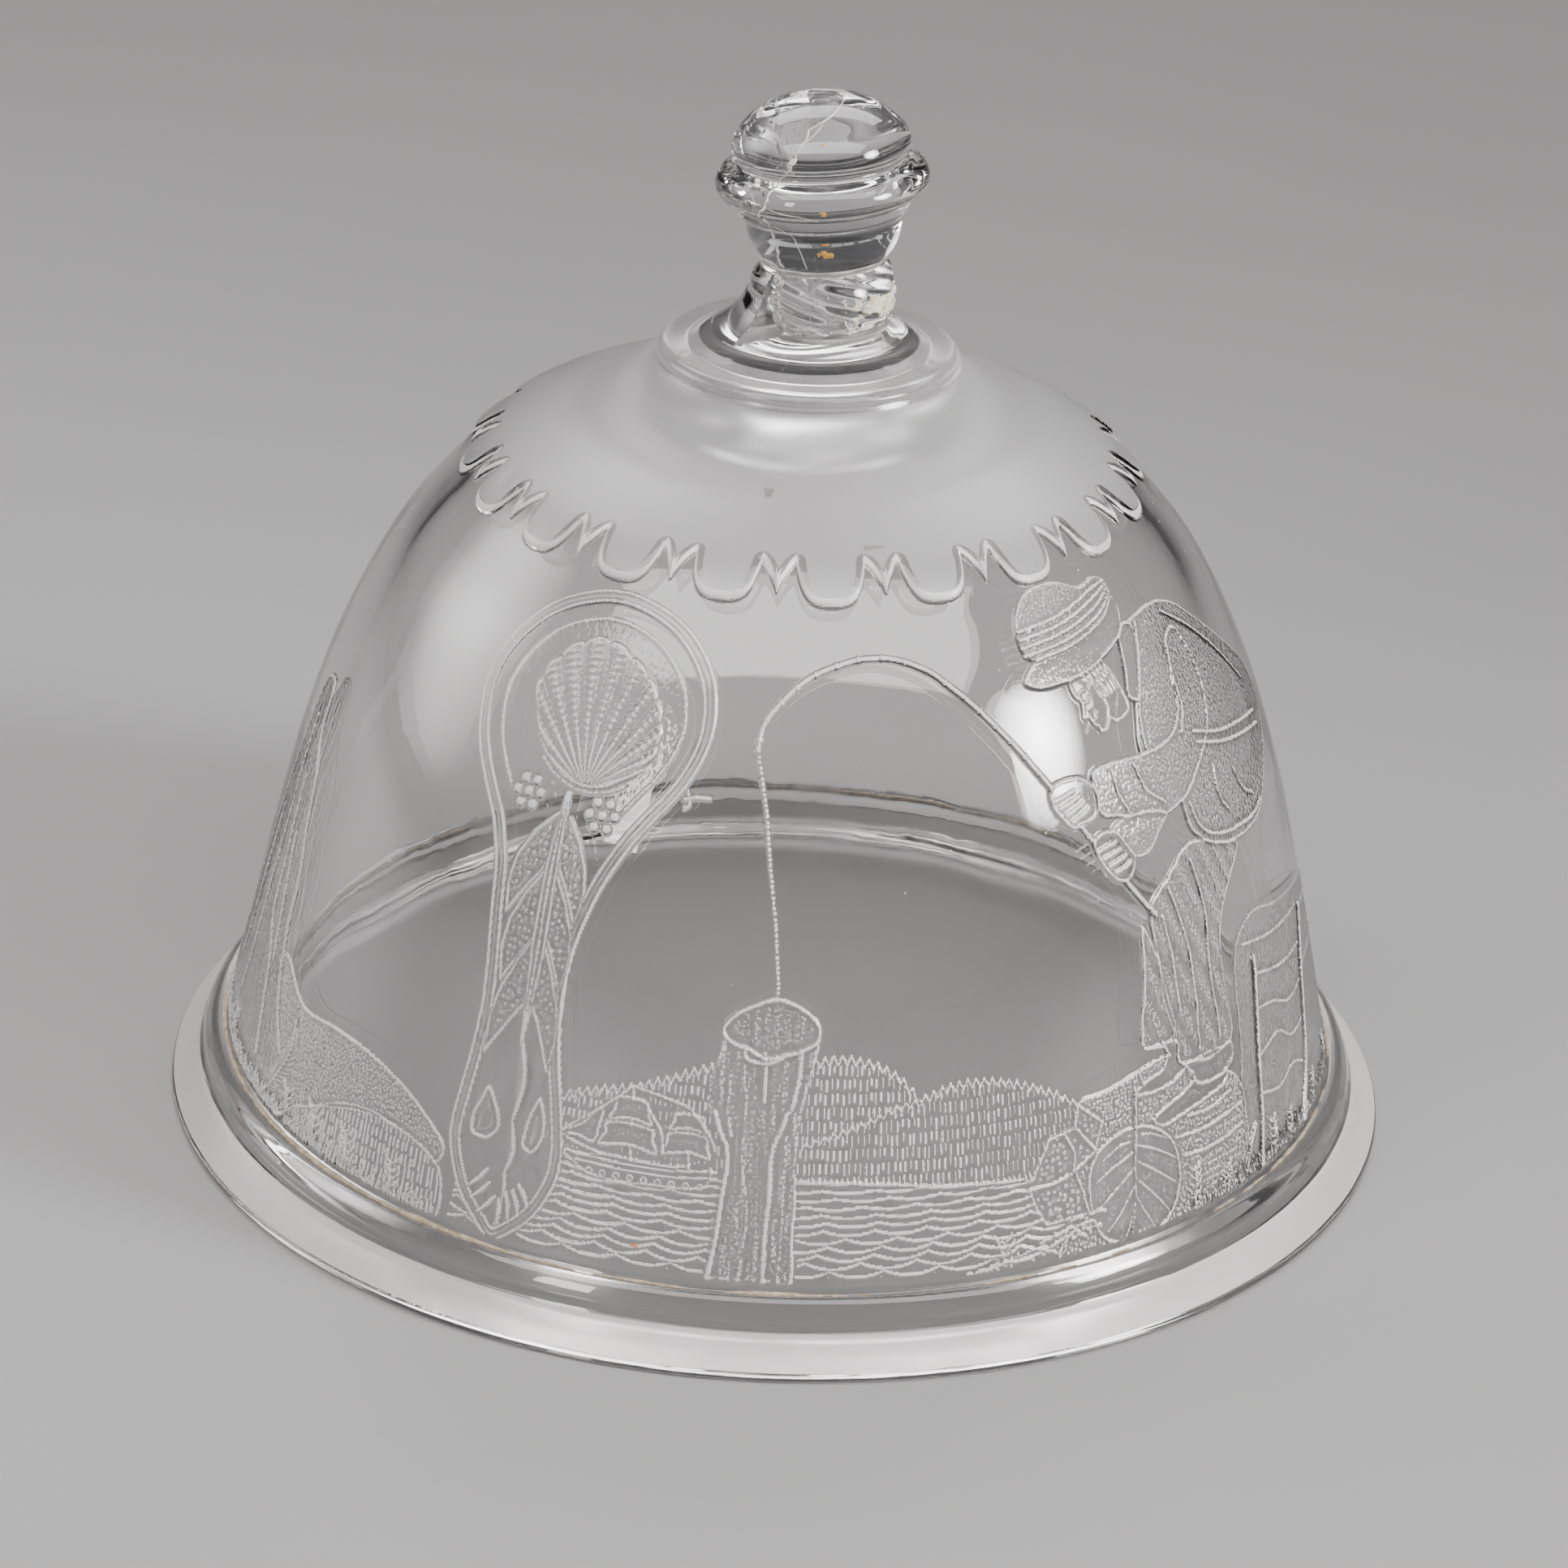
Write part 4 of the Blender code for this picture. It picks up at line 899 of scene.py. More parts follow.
def left_bank(at=0.0, flip=1):
    """Tall trunk, far hill, grassy mound and a feathered leaf."""
    def t(points):
        return [(flip * a + at, z) for a, z in points]

    def stone(x, y, w, d):
        return 0.10 * COARSE[w] + 0.07 * (BARK[w] - 0.3)

    patch(t([(-66.0, 34.0), (-59.5, 29.6), (-52.8, 30.4), (-46.5, 30.1), (-41.2, 28.1), (-37.4, 25.2),
             (-34.6, 21.6), (-36.0, 18.4), (-41.0, 21.6), (-46.0, 21.8), (-51.0, 19.4), (-56.5, 15.0),
             (-62.0, 12.5), (-68.0, 12.0)]), 0.08, 0.13 * FINE, rim=0.28)
    patch(t([(-80.0, 71.0), (-76.5, 72.0), (-74.0, 64.6), (-71.0, 59.8), (-69.0, 51.7), (-67.4, 44.9),
             (-67.3, 38.1), (-66.5, 31.7), (-64.9, 25.7), (-62.0, 19.8), (-58.0, 14.0), (-61.0, 11.0),
             (-72.0, 10.6), (-84.0, 11.0), (-90.0, 13.0), (-86.5, 24.0), (-83.4, 40.0), (-81.4, 56.0)]),
          0.14, stone, edge=0.3)
    lines = blank()
    for p in ([(-78.0, 66.0), (-76.4, 52.0), (-76.6, 38.0), (-77.6, 24.0), (-80.0, 13.0)],
              [(-74.4, 58.0), (-73.0, 44.0), (-72.6, 36.8), (-70.4, 31.3), (-69.1, 23.9), (-68.0, 16.0)],
              [(-72.0, 50.0), (-70.2, 40.0), (-69.0, 31.0)], [(-80.0, 50.0), (-80.6, 36.0), (-82.6, 22.0)]):
        C.line(lines, t(p), 0.34, 0.26)
    add(lines)
    w, d, x, y = patch(t([(-58.0, 14.0), (-54.4, 16.7), (-50.4, 19.3), (-45.5, 21.4), (-40.3, 21.6),
                          (-36.7, 20.2), (-34.8, 18.2), (-34.2, 13.6), (-34.8, 10.4), (-46.0, 10.0),
                          (-58.0, 10.4)]), 0.10, 0.21 * TURF, rim=0.25)
    # feathered leaf lying against the trunk
    w, q, along, e, half = C.along(t([(-64.0, 12.6), (-61.6, 17.4), (-60.0, 22.0), (-60.2, 27.0)]),
                                   [0.4, 2.0, 2.3, 1.5, 0.15])
    inside = smooth(1 - np.abs(q), 0.0, 0.12) * (along > 0.001) * (along < 0.999)
    barb = 0.5 + 0.5 * np.sin((along * 34 - np.abs(q) * 5) * 2 * math.pi / 2.2)
    H[w] = H[w] * (1 - inside) + inside * (0.16 + 0.14 * barb + 0.2 * np.clip(1 - (e / 0.28) ** 2, 0, 1))


def scallop(angle):
    pitch = 360.0 / LOBES
    d = abs((angle - LOBE_TURN + pitch / 2) % pitch - pitch / 2)
    if d < LOBE_HALF:
        u = d / LOBE_HALF
        return LOBE_FOOT + (NOTCH_HEAD - LOBE_FOOT) * (0.25 * u ** 2 + 0.75 * u ** 5)
    u = (d - LOBE_HALF) / (pitch / 2 - LOBE_HALF)
    return NOTCH_HEAD + (TIP_FOOT - NOTCH_HEAD) * (0.35 * u + 0.65 * u ** 2)


def scalloped_cap():
    """Raised cap with round lobes and creased points, satin above its bevel."""
    dist = np.full(H.shape, 9.0)
    angles = np.arange(-181.0, 181.2, 0.2)
    pts = np.array([(a, scallop(a)) for a in angles])
    for i in range(len(pts) - 1):
        centre = pts[i, 0]
        xy = C.place(pts[i:i + 2], centre)
        w = C.window(xy, centre, 2.6)
        x, y = C.local(w, centre)
        a, d = xy[0], xy[1] - xy[0]
        t = np.clip(((x - a[0]) * d[0] + (y - a[1]) * d[1]) / max(d @ d, 1e-9), 0, 1)
        dist[w] = np.minimum(dist[w], np.hypot(x - a[0] - t * d[0], y - a[1] - t * d[1]))
    edge = C.arc(np.array([scallop(a) for a in C.th]))[None, :]
    above = np.where(C.y > edge, dist, -dist)
    pitch = 360.0 / LOBES
    off = (C.th - LOBE_TURN + pitch / 2) % pitch - pitch / 2
    lobe = (1 - smooth(np.abs(off), LOBE_HALF - 0.6, LOBE_HALF + 0.4))[None, :]
    wide = 1.35 * lobe + 0.95 * (1 - lobe)
    u = np.clip((above + 0.1) / wide, 0, 1)
    H[...] += CAP_STEP * np.sqrt(np.clip(1 - (1 - u) ** 2, 0, 1))
    crease = np.abs((np.abs(off) - pitch / 2))[None, :] * np.radians(1.0) * C.r[:, None]
    point = (1 - lobe) * smooth(above, 0.2, 0.6) * (1 - smooth(C.y - edge, 2.2, 3.4))
    H[...] += 0.28 * point * np.clip(1 - crease / 0.55, 0, 1)
    satin = smooth(above, 1.0, 1.6)
    C.rough[...] = np.maximum(C.rough * (1 - smooth(above, -0.3, 0.1)), 0)
    return satin, above


land_and_water()
ship()
left_bank()
fence()
rocks()
grass_and_sprigs()
stump()
angler()
cartouche(0.0)
SATIN, ABOVE = scalloped_cap()
# the whole wall is very slightly uneven, as pressed glass is
H *= (0.45 + 0.55 * (1 - smooth(np.abs(C.th), 92.0, 108.0)))[None, :] * (1 - SATIN) + SATIN
H += 0.035 * (DRIFT - 0.5) + 0.004 * (streaks(2.2, 2.2, 8) - 0.5)
H *= (1 - 0.3 * smooth(np.abs(C.th), 62.0, 84.0))[None, :] * (1 - SATIN) + SATIN
H *= smooth(C.y, 0.0, 0.6)


# ------------------------------------------------------------ mesh building
def ring_mesh(name, rows, uv=True, close=True):
    """Mesh from rows of points (rows x columns x 3, mm) turned round the axis.
    A row of one point is a pole."""
    cols = max(len(r) for r in rows)
    start, verts = [], []
    for r in rows:
        start.append(len(verts) if not verts else start[-1] + len(verts[-1]))
        verts.append(np.asarray(r, float))
    start = np.concatenate([[0], np.cumsum([len(v) for v in verts])])[:-1]
    co = np.concatenate(verts)
    j = np.arange(cols)
    jn = (j + 1) % cols
    quads, tris, quad_row, tri_row = [], [], [], []
    pairs = list(zip(range(len(rows) - 1), range(1, len(rows))))
    if close:
        pairs.append((len(rows) - 1, 0))
    for a, b in pairs:
        la, lb = len(verts[a]), len(verts[b])
        if la == 1 and lb == 1:
            continue
        if la > 1 and lb > 1:
            quads.append(np.stack([start[a] + j, start[a] + jn, start[b] + jn, start[b] + j], 1))
            quad_row.append(np.full(cols, a))
        elif la == 1:
            tris.append(np.stack([np.full(cols, start[a]), start[b] + jn, start[b] + j], 1))
            tri_row.append(np.full(cols, a))
        else:
            tris.append(np.stack([start[a] + j, start[a] + jn, np.full(cols, start[b])], 1))
            tri_row.append(np.full(cols, a))
    quads = np.concatenate(quads)
    tris = np.concatenate(tris) if tris else np.zeros((0, 3), int)
    loops = np.concatenate([quads.ravel(), tris.ravel()]).astype(np.int32)
    totals = np.concatenate([np.full(len(quads), 4), np.full(len(tris), 3)]).astype(np.int32)
    starts = np.concatenate([[0], np.cumsum(totals)])[:-1].astype(np.int32)
    mesh = bpy.data.meshes.new(name)
    mesh.vertices.add(len(co))
    mesh.vertices.foreach_set("co", (co * MM).astype(np.float32).ravel())
    mesh.loops.add(len(loops))
    mesh.loops.foreach_set("vertex_index", loops)
    mesh.polygons.add(len(totals))
    mesh.polygons.foreach_set("loop_start", starts)
    mesh.polygons.foreach_set("loop_total", totals)
    mesh.update(calc_edges=True)
    mesh.shade_smooth()
    face_row = np.concatenate(quad_row + tri_row) if tri_row else np.concatenate(quad_row)
    if uv:
        # rows laid out one above the other by their length along the profile
        mid = np.array([v.mean(0) if len(v) == 1 else v[0] for v in verts])
        rad = np.array([np.hypot(v[:, 0], v[:, 1]).mean() for v in verts])
        prof = np.stack([rad, mid[:, 2]], 1)
        step = np.hypot(*np.diff(prof, axis=0).T)
        run = np.concatenate([[0], np.cumsum(step + 1e-4)])
        run = 0.002 + 0.990 * run / (run[-1] + 3.0)
        u = np.concatenate([np.stack([j, j + 1, j + 1, j], 1)[None].repeat(len(quad_row), 0).reshape(-1)]
                           + ([np.zeros(0)] if not tri_row else []))
        v = []
        for a in [q[0] for q in quad_row]:
            b = (a + 1) % len(rows)
            vb = run[b] if b > a else run[a] + 0.005
            v.append(np.tile([run[a], run[a], vb, vb], cols))
        v = np.concatenate(v)
        if tri_row:
            tu, tv = [], []
            for t_, a in zip(tris.reshape(-1, cols, 3), [q[0] for q in tri_row]):
                b = (a + 1) % len(rows)
                if len(verts[a]) == 1:
                    tu.append(np.stack([j + 0.5, j + 1, j], 1).ravel())
                    tv.append(np.tile([run[a], run[b], run[b]], cols))
                else:
                    tu.append(np.stack([j, j + 1, j + 0.5], 1).ravel())
                    tv.append(np.tile([run[a], run[a], run[b]], cols))
            u = np.concatenate([u] + tu)
            v = np.concatenate([v] + tv)
        layer = mesh.uv_layers.new(name="OFBake")
        uvs = np.stack([u / cols * 0.996 + 0.002, v], 1).astype(np.float32)
        layer.uv.foreach_set("vector", uvs.ravel())
    return mesh, face_row


def place_object(name, mesh, *mats):
    ob = bpy.data.objects.new(name, mesh)
    bpy.context.scene.collection.objects.link(ob)
    for m in mats:
        ob.data.materials.append(m)
    return ob


# ------------------------------------------------------------ materials
def new_material(name):
    mat = bpy.data.materials.new(name)
    mat.use_nodes = True
    return mat, mat.node_tree, mat.node_tree.nodes["Principled BSDF"]


def noise_node(tree, scale, detail=3.0, rough=0.55, distort=0.0):
    coord = tree.nodes.new("ShaderNodeTexCoord")
    node = tree.nodes.new("ShaderNodeTexNoise")
    node.inputs["Scale"].default_value = scale
    node.inputs["Detail"].default_value = detail
    node.inputs["Roughness"].default_value = rough
    node.inputs["Distortion"].default_value = distort
    tree.links.new(coord.outputs["Object"], node.inputs["Vector"])
    return node.outputs["Fac"]


def remap(tree, socket, a, b, c, d):
    node = tree.nodes.new("ShaderNodeMapRange")
    node.inputs["From Min"].default_value = a
    node.inputs["From Max"].default_value = b
    node.inputs["To Min"].default_value = c
    node.inputs["To Max"].default_value = d
    tree.links.new(socket, node.inputs["Value"])
    return node.outputs["Result"]


def math_node(tree, op, a, b):
    node = tree.nodes.new("ShaderNodeMath")
    node.operation = op
    node.use_clamp = True
    for k, v in enumerate((a, b)):
        if isinstance(v, (int, float)):
            node.inputs[k].default_value = v
        else:
            tree.links.new(v, node.inputs[k])
    return node.outputs["Value"]


def bump(tree, bsdf, height, strength, distance):
    node = tree.nodes.new("ShaderNodeBump")
    node.inputs["Strength"].default_value = strength
    node.inputs["Distance"].default_value = distance
    tree.links.new(height, node.inputs["Height"])
    tree.links.new(node.outputs["Normal"], bsdf.inputs["Normal"])


def ramp(tree, socket, stops):
    node = tree.nodes.new("ShaderNodeValToRGB")
    e = node.color_ramp.elements
    while len(e) < len(stops):
        e.new(0.5)
    for item, (pos, col) in zip(e, stops):
        item.position = pos
        item.color = (*col, 1.0)
    tree.links.new(socket, node.inputs["Fac"])
    return node.outputs["Color"]


def glass(name, colour, rough, transmission=1.0, ior=1.52, smears=0.05, attribute=None,
          grain=(900.0, 0.12, 0.00004), extra=0.5):
    mat, tree, bsdf = new_material(name)
    bsdf.inputs["Base Color"].default_value = (*colour, 1.0)
    bsdf.inputs["Transmission Weight"].default_value = transmission
    bsdf.inputs["IOR"].default_value = ior
    smear = remap(tree, noise_node(tree, 38.0, 4.0, 0.6, 0.6), 0.42, 0.72, rough, rough + smears)
    if attribute:
        node = tree.nodes.new("ShaderNodeAttribute")
        node.attribute_name = attribute
        smear = math_node(tree, "ADD", smear, math_node(tree, "MULTIPLY", node.outputs["Fac"], extra))
    tree.links.new(smear, bsdf.inputs["Roughness"])
    if grain:
        bump(tree, bsdf, noise_node(tree, grain[0], 2.0), grain[1], grain[2])
    return mat


CLEAR = glass("pressed_glass_clear", (0.985, 0.975, 0.975), 0.015, smears=0.05, attribute="etch",
              grain=(260.0, 0.05, 0.0001))
SATIN_GLASS = glass("pressed_glass_satin", (0.94, 0.925, 0.925), 0.36, transmission=0.85, smears=0.10,
                    grain=(1500.0, 0.25, 0.00006))
RIM_GLASS = glass("pressed_glass_rim_satin", (0.90, 0.85, 0.845), 0.36, transmission=0.62, smears=0.14,
                  grain=(1100.0, 0.20, 0.00006))
KNOB_GLASS = glass("knob_glass", (0.985, 0.98, 0.985), 0.012, smears=0.03, grain=(120.0, 0.08, 0.0002))
# whiter, part-diffuse copies of the clear glass in three strengths: on relief crests, berry middles, scallop lips and
# face lines they are painted highlights standing in for glints
RELIEF_GLINT_GLASS = glass("pressed_glass_relief", (0.98, 0.96, 0.96), 0.30, transmission=0.56, smears=0.12,
                     grain=(1500.0, 0.2, 0.00005))
RELIEF_GLINT_SOFT = glass("pressed_glass_relief_soft", (0.98, 0.96, 0.96), 0.24, transmission=0.72, smears=0.10,
                    grain=(1500.0, 0.2, 0.00005))
RELIEF_FAINT = glass("pressed_glass_relief_faint", (0.98, 0.96, 0.96), 0.16, transmission=0.86, smears=0.08,
                     grain=(1500.0, 0.2, 0.00005))
BROKEN = glass("broken_glass_face", (0.97, 0.965, 0.965), 0.05, smears=0.12, grain=(500.0, 0.2, 0.0001))
RESIN = glass("casting_resin", (0.965, 0.965, 0.985), 0.03, ior=1.50, smears=0.10, grain=(170.0, 0.25, 0.0003))
GLUE = glass("clear_glue", (0.95, 0.93, 0.90), 0.12, transmission=0.85, ior=1.48, smears=0.2,
             grain=(420.0, 0.4, 0.0002))


def film_material(name, low, high, tone=1.0):
    """Thin clear glue: nearly invisible, with a cloudy patch or two."""
    mat, tree, bsdf = new_material(name)
    n = noise_node(tree, 160.0, 4.0, 0.6, 0.8)
    tree.links.new(ramp(tree, n, [(0.3, (0.80 * tone, 0.78 * tone, 0.76 * tone)), (0.7, (0.92 * tone, 0.91 * tone, 0.90 * tone))]),
                   bsdf.inputs["Base Color"])
    tree.links.new(remap(tree, n, 0.40, 0.75, low, high), bsdf.inputs["Alpha"])
    bsdf.inputs["Roughness"].default_value = 0.5
    bsdf.inputs["Specular IOR Level"].default_value = 0.0
    return mat


FILM = film_material("crack_glue_film", 0.0, 0.14)
SMEAR = film_material("glue_smear", 0.08, 0.42)
SMUDGE = film_material("finger_smudge", 0.24, 0.46, 0.24)


def matte(name, stops, scale, rough=(0.55, 0.85), strength=0.5, distance=0.0002, transmission=0.0,
          subsurface=0.0):
    mat, tree, bsdf = new_material(name)
    n = noise_node(tree, scale, 5.0, 0.65)
    tree.links.new(ramp(tree, n, stops), bsdf.inputs["Base Color"])
    tree.links.new(remap(tree, n, 0.3, 0.7, *rough), bsdf.inputs["Roughness"])
    bump(tree, bsdf, noise_node(tree, scale * 2.3, 4.0), strength, distance)
    if transmission:
        bsdf.inputs["Transmission Weight"].default_value = transmission
    if subsurface:
        bsdf.inputs["Subsurface Weight"].default_value = subsurface
        bsdf.inputs["Subsurface Scale"].default_value = 0.001
    return mat


WHITE_GLUE = matte("white_glue_line", [(0.35, (0.66, 0.62, 0.58)), (0.65, (0.86, 0.83, 0.80))], 700.0)
RESIDUE = matte("old_glue", [(0.32, (0.48, 0.41, 0.22)), (0.46, (0.76, 0.71, 0.52)), (0.62, (0.92, 0.90, 0.83))], 900.0,
                transmission=0.35)
AMBER = matte("amber_glue", [(0.35, (0.42, 0.19, 0.03)), (0.65, (0.66, 0.36, 0.07))], 900.0, rough=(0.2, 0.4))
DIRT = matte("groove_dirt", [(0.3, (0.20, 0.155, 0.10)), (0.5, (0.36, 0.29, 0.20)), (0.7, (0.52, 0.44, 0.33))], 900.0,
             rough=(0.8, 0.95), strength=0.8)
SPECK = matte("dust_speck", [(0.35, (0.45, 0.42, 0.38)), (0.65, (0.72, 0.69, 0.65))], 1200.0, rough=(0.8, 0.95))
RUST = matte("orange_speck", [(0.35, (0.45, 0.14, 0.03)), (0.65, (0.62, 0.22, 0.06))], 1200.0, rough=(0.6, 0.8))


# ------------------------------------------------------------ the bell
def bell():
    th = np.radians(C.th)
    sin, cos = np.sin(th), -np.cos(th)

    def row(r, z):
        r = np.broadcast_to(np.asarray(r, float), th.shape)
        z = np.broadcast_to(np.asarray(z, float), th.shape)
        return np.stack([r * sin, r * cos, z], 1)

    rows, etch, kind = [], [], []          # kind: 0 clear, 1 satin, 2 rim, 3 broken
    zero = np.zeros(COLS)

    def push(r, z, e=0.0, k=0):
        rows.append(row(r, z))
        etch.append(np.broadcast_to(np.asarray(e, float), th.shape))
        kind.append(np.broadcast_to(np.asarray(k), th.shape))

    push(*RIM[0])
    push(83.7, 0.55)
    for r in (84.6, 87.0, 90.0, 93.0, 95.0):
        push(r, 0.0)
    worn = 0.05 * (noise((C.th + 180) / 360 * 160, np.zeros(COLS), 41, 160) - 0.5)
    edge = curve(RIM[2:], 7)
    for r, z in edge:
        band = 91.6 < r < 95.75 and z > 0.9
        push(r + worn * (z > 0.2), max(z, 0.0), 0.0, 2 if band else 0)
    h = C.h
    # crests of the relief lines and textures get whiter, less clear glass in three strengths,
    # a painted highlight standing in for the light the real lines catch; plain wall stays clear
    calm = h.copy()
    for _ in range(7):
        for axis in (0, 1):
            calm = (np.roll(calm, 1, axis) + 2 * calm + np.roll(calm, -1, axis)) / 4
    crest = (h - calm) * (1 - 0.25 * smooth(np.abs(C.th), 60.0, 90.0))[None, :]
    pictured = (C.y > 0.25) & (np.abs(C.th) < 112.0)[None, :]
    level = np.where(crest > 0.062, 4, np.where(crest > 0.036, 5, np.where(crest > 0.017, 6, 0))) * pictured
    level = np.where(GLINT_TONE == 1, 0, np.where(GLINT_TONE == 2, 4, np.where(GLINT_TONE == 4, 5, level)))
    # painted highlight: the thick lower lip of each scallop gets the whitest, least clear glass
    under = np.vstack([np.full((5, COLS), -9.0), ABOVE[:-5]])
    lip = (ABOVE > 0.05) & (under < 0.05)
    for i in range(1, C.rows):
        satin = SATIN[i] > 0.5
        push(C.r[i] + h[i] * C.nr[i], C.z[i] + h[i] * C.nz[i], C.rough[i], np.where(lip[i], 4, np.where(satin, 1, level[i])))
    last_r = C.r[-1] + h[-1] * C.nr[-1]
    last_z = C.z[-1] + h[-1] * C.nz[-1]
    lift = float(np.mean(h[-1]))
    tail = curve([(C.r[-1] + lift * C.nr[-1], C.z[-1] + lift * C.nz[-1])] + COLLAR[1:], 10)[1:]
    for k, (r, z) in enumerate(tail):
        push(r, z, 0.0, 1 if z < 121.7 else 6)
    stem = curve(STEM, 14)[1:]
    face = math.radians(BREAK_TURN)
    away = np.cos(th - face)
    limit = np.where(away > 1e-3, BREAK_OFFSET / np.maximum(away, 1e-3), 1e3)
    chip = noise((C.th + 180) / 360 * 90, np.zeros(COLS), 43, 90) - 0.5
    turned = False
    for r, z in stem:
        if z <= BREAK_FLOOR:
            push(r, z, 0.10 if r > 16.8 else 0.04, 6 if r > 16.8 else 0)
            continue
        if not turned:
            # the floor of the break, from the stem's outside to the broken face
            r0 = float(np.interp(BREAK_FLOOR, stem[:, 1], stem[:, 0]))
            for f in np.linspace(0, 1, 22):
                lim = np.minimum(limit, r0)
                rr = r0 + (lim - r0) * f
                shell = 0.22 * np.sin(rr * 2.1 + 2.0 * np.sin(3 * th)) * (lim < r0) * math.sin(math.pi * f)
                push(rr, BREAK_FLOOR + shell * 0.6, 0.0, np.where(lim < r0 - 0.2, 3, 0))
            turned = True
        wob = 0.20 * (np.sin(z * 2.4 + 1.3 * np.sin(2 * th)) + chip) * (limit < r)
        push(np.minimum(r, limit + wob), z, 0.0, np.where(limit < r, 3, 0))
    top = rows[-1]
    z = stem[-1][1]
    for f in (0.96, 0.8, 0.55, 0.25):
        push(np.minimum(stem[-1][0], limit) * f, z + 0.0 * f)
    rows.append(np.array([[0.0, 0.0, 136.7]])); etch.append(np.zeros(1)); kind.append(np.zeros(1))

    rows.append(np.array([[0.0, 0.0, 114.4]])); etch.append(np.zeros(1)); kind.append(np.zeros(1))
    inner = []
    prof = curve(WALL, 12)
    d = np.gradient(prof, axis=0)
    d /= np.hypot(d[:, 0], d[:, 1])[:, None]
    thick = 4.6 + (4.2 - 4.6) * np.minimum(prof[:, 1] / 100.0, 1.0)
    inside = prof - np.stack([d[:, 1], -d[:, 0]], 1) * thick[:, None]
    inside = inside[(inside[:, 0] > 30.0) & (inside[:, 1] > 6.0)]
    crown = curve([tuple(inside[-1])] + CROWN, 8)[1:-1][::-1]
    soft = noise((C.th + 180) / 360 * 40, np.zeros(COLS), 44, 40) - 0.5
    for r, z in list(crown) + list(inside[::-1]):
        push(r + 0.06 * soft * min(r / 40.0, 1.0) * math.sin(z / 9.0), z)
    for f in (0.25, 0.5, 0.75):
        a, b = inside[0], np.array(RIM[0])
        push(*(a + (b - a) * f))
    mesh, face_row = ring_mesh("dome_relief_shell", rows)
    flat = mesh.attributes.new("etch", "FLOAT", "POINT")
    flat.data.foreach_set("value", np.concatenate(etch).astype(np.float32))
    count = len(mesh.polygons)
    starts = np.zeros(count, np.int32)
    mesh.polygons.foreach_get("loop_start", starts)
    vi = np.zeros(len(mesh.loops), np.int32)
    mesh.loops.foreach_get("vertex_index", vi)
    kinds = np.concatenate(kind).astype(np.int32)
    mesh.polygons.foreach_set("material_index", kinds[vi[starts]])
    bm = bmesh.new()
    bm.from_mesh(mesh)
    lost = Vector((math.sin(face), -math.cos(face), 0.0))
    joined = [f for f in bm.faces if f.material_index == 3 and f.calc_center_median().z > 128.35 * MM
              and f.calc_center_median().z < 136.6 * MM and f.normal.dot(lost) > 0.5
              and f.calc_center_median().dot(lost) > (BREAK_OFFSET - 0.6) * MM
              and (f.calc_center_median() - LEANT).to_2d().length < 8.3 * MM]
    bmesh.ops.delete(bm, geom=joined, context="FACES")
    bm.to_mesh(mesh)
    bm.free()
    ob = place_object("dome_relief_shell", mesh, CLEAR, SATIN_GLASS, RIM_GLASS, BROKEN, RELIEF_GLINT_GLASS, RELIEF_GLINT_SOFT,
                      RELIEF_FAINT)
    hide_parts("dome_shell")
    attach(ob, "root")
    return ob


# ------------------------------------------------------------ the knob
def knob_profile(steps=9):
    body = curve(KNOB[1:], steps)
    a = np.linspace(0, math.pi / 2, 72)[1:-1]
    cap = np.stack([KNOB_RADIUS * np.cos(a), KNOB_MIDDLE + KNOB_DOME * np.sin(a)], 1)
    return np.vstack([body, cap])


PROFILE = knob_profile()


def knob_radius(z):
    i = np.argsort(PROFILE[:, 1], kind="stable")
    return float(np.interp(z, PROFILE[i, 1], PROFILE[i, 0]))


def crack_x(z, y=0.0):
    c = np.array(CRACK)[::-1]
    base = np.interp(z, c[:, 0], c[:, 1])
    return base + 0.16 * np.sin(z * 1.9 + y * 0.55) + 0.10 * np.sin(z * 4.7 - y * 0.9)


def turned_knob(name, cols=256, grow=0.0):
    a = 2 * math.pi * np.arange(cols) / cols
    rows = [np.array([[0, 0, KNOB[0][1] - grow]])]
    for f in (0.3, 0.6, 0.85):
        r = KNOB[1][0] * f
        rows.append(np.stack([r * np.sin(a), -r * np.cos(a), np.full(cols, KNOB[0][1] - grow)], 1))
    for r, z in PROFILE:
        wob = 0.03 * np.sin(3 * a + z * 0.3) + 0.008 * np.sin(7 * a - 0.5 * z)
        rr = r + grow + wob
        rows.append(np.stack([rr * np.sin(a), -rr * np.cos(a), np.full(cols, z)], 1))
    rows.append(np.array([[0, 0, KNOB_MIDDLE + KNOB_DOME + grow]]))
    mesh, _ = ring_mesh(name, rows, uv=False, close=False)
    return mesh


def crack_cutter(name, shift, side):
    """Uneven sheet through the knob, drawn out to one side as a closed block."""
    zs, ys = np.linspace(136.0, 166.0, 110), np.linspace(-20.0, 20.0, 60)
    zz, yy = np.meshgrid(zs, ys, indexing="ij")
    xx = crack_x(zz, yy) + shift
    front = np.stack([xx, yy, zz], -1).reshape(-1, 3)
    back = front.copy()
    back[:, 0] = 40.0 * side
    nz, ny = len(zs), len(ys)
    k = np.arange(nz * ny).reshape(nz, ny)
    quads = np.stack([k[:-1, :-1], k[1:, :-1], k[1:, 1:], k[:-1, 1:]], -1).reshape(-1, 4)
    m = nz * ny
    edge = np.concatenate([k[0, :], k[1:, -1], k[-1, -2::-1], k[-2:0:-1, 0]])
    nxt = np.roll(edge, -1)
    walls = np.stack([edge, nxt, nxt + m, edge + m], -1)
    faces = np.concatenate([quads, quads[:, ::-1] + m, walls])
    mesh = bpy.data.meshes.new(name)
    mesh.from_pydata((np.concatenate([front, back]) * MM).tolist(), [], faces.tolist())
    bm = bmesh.new()
    bm.from_mesh(mesh)
    bmesh.ops.recalc_face_normals(bm, faces=bm.faces)
    bm.to_mesh(mesh)
    bm.free()
    return bpy.data.objects.new(name, mesh)


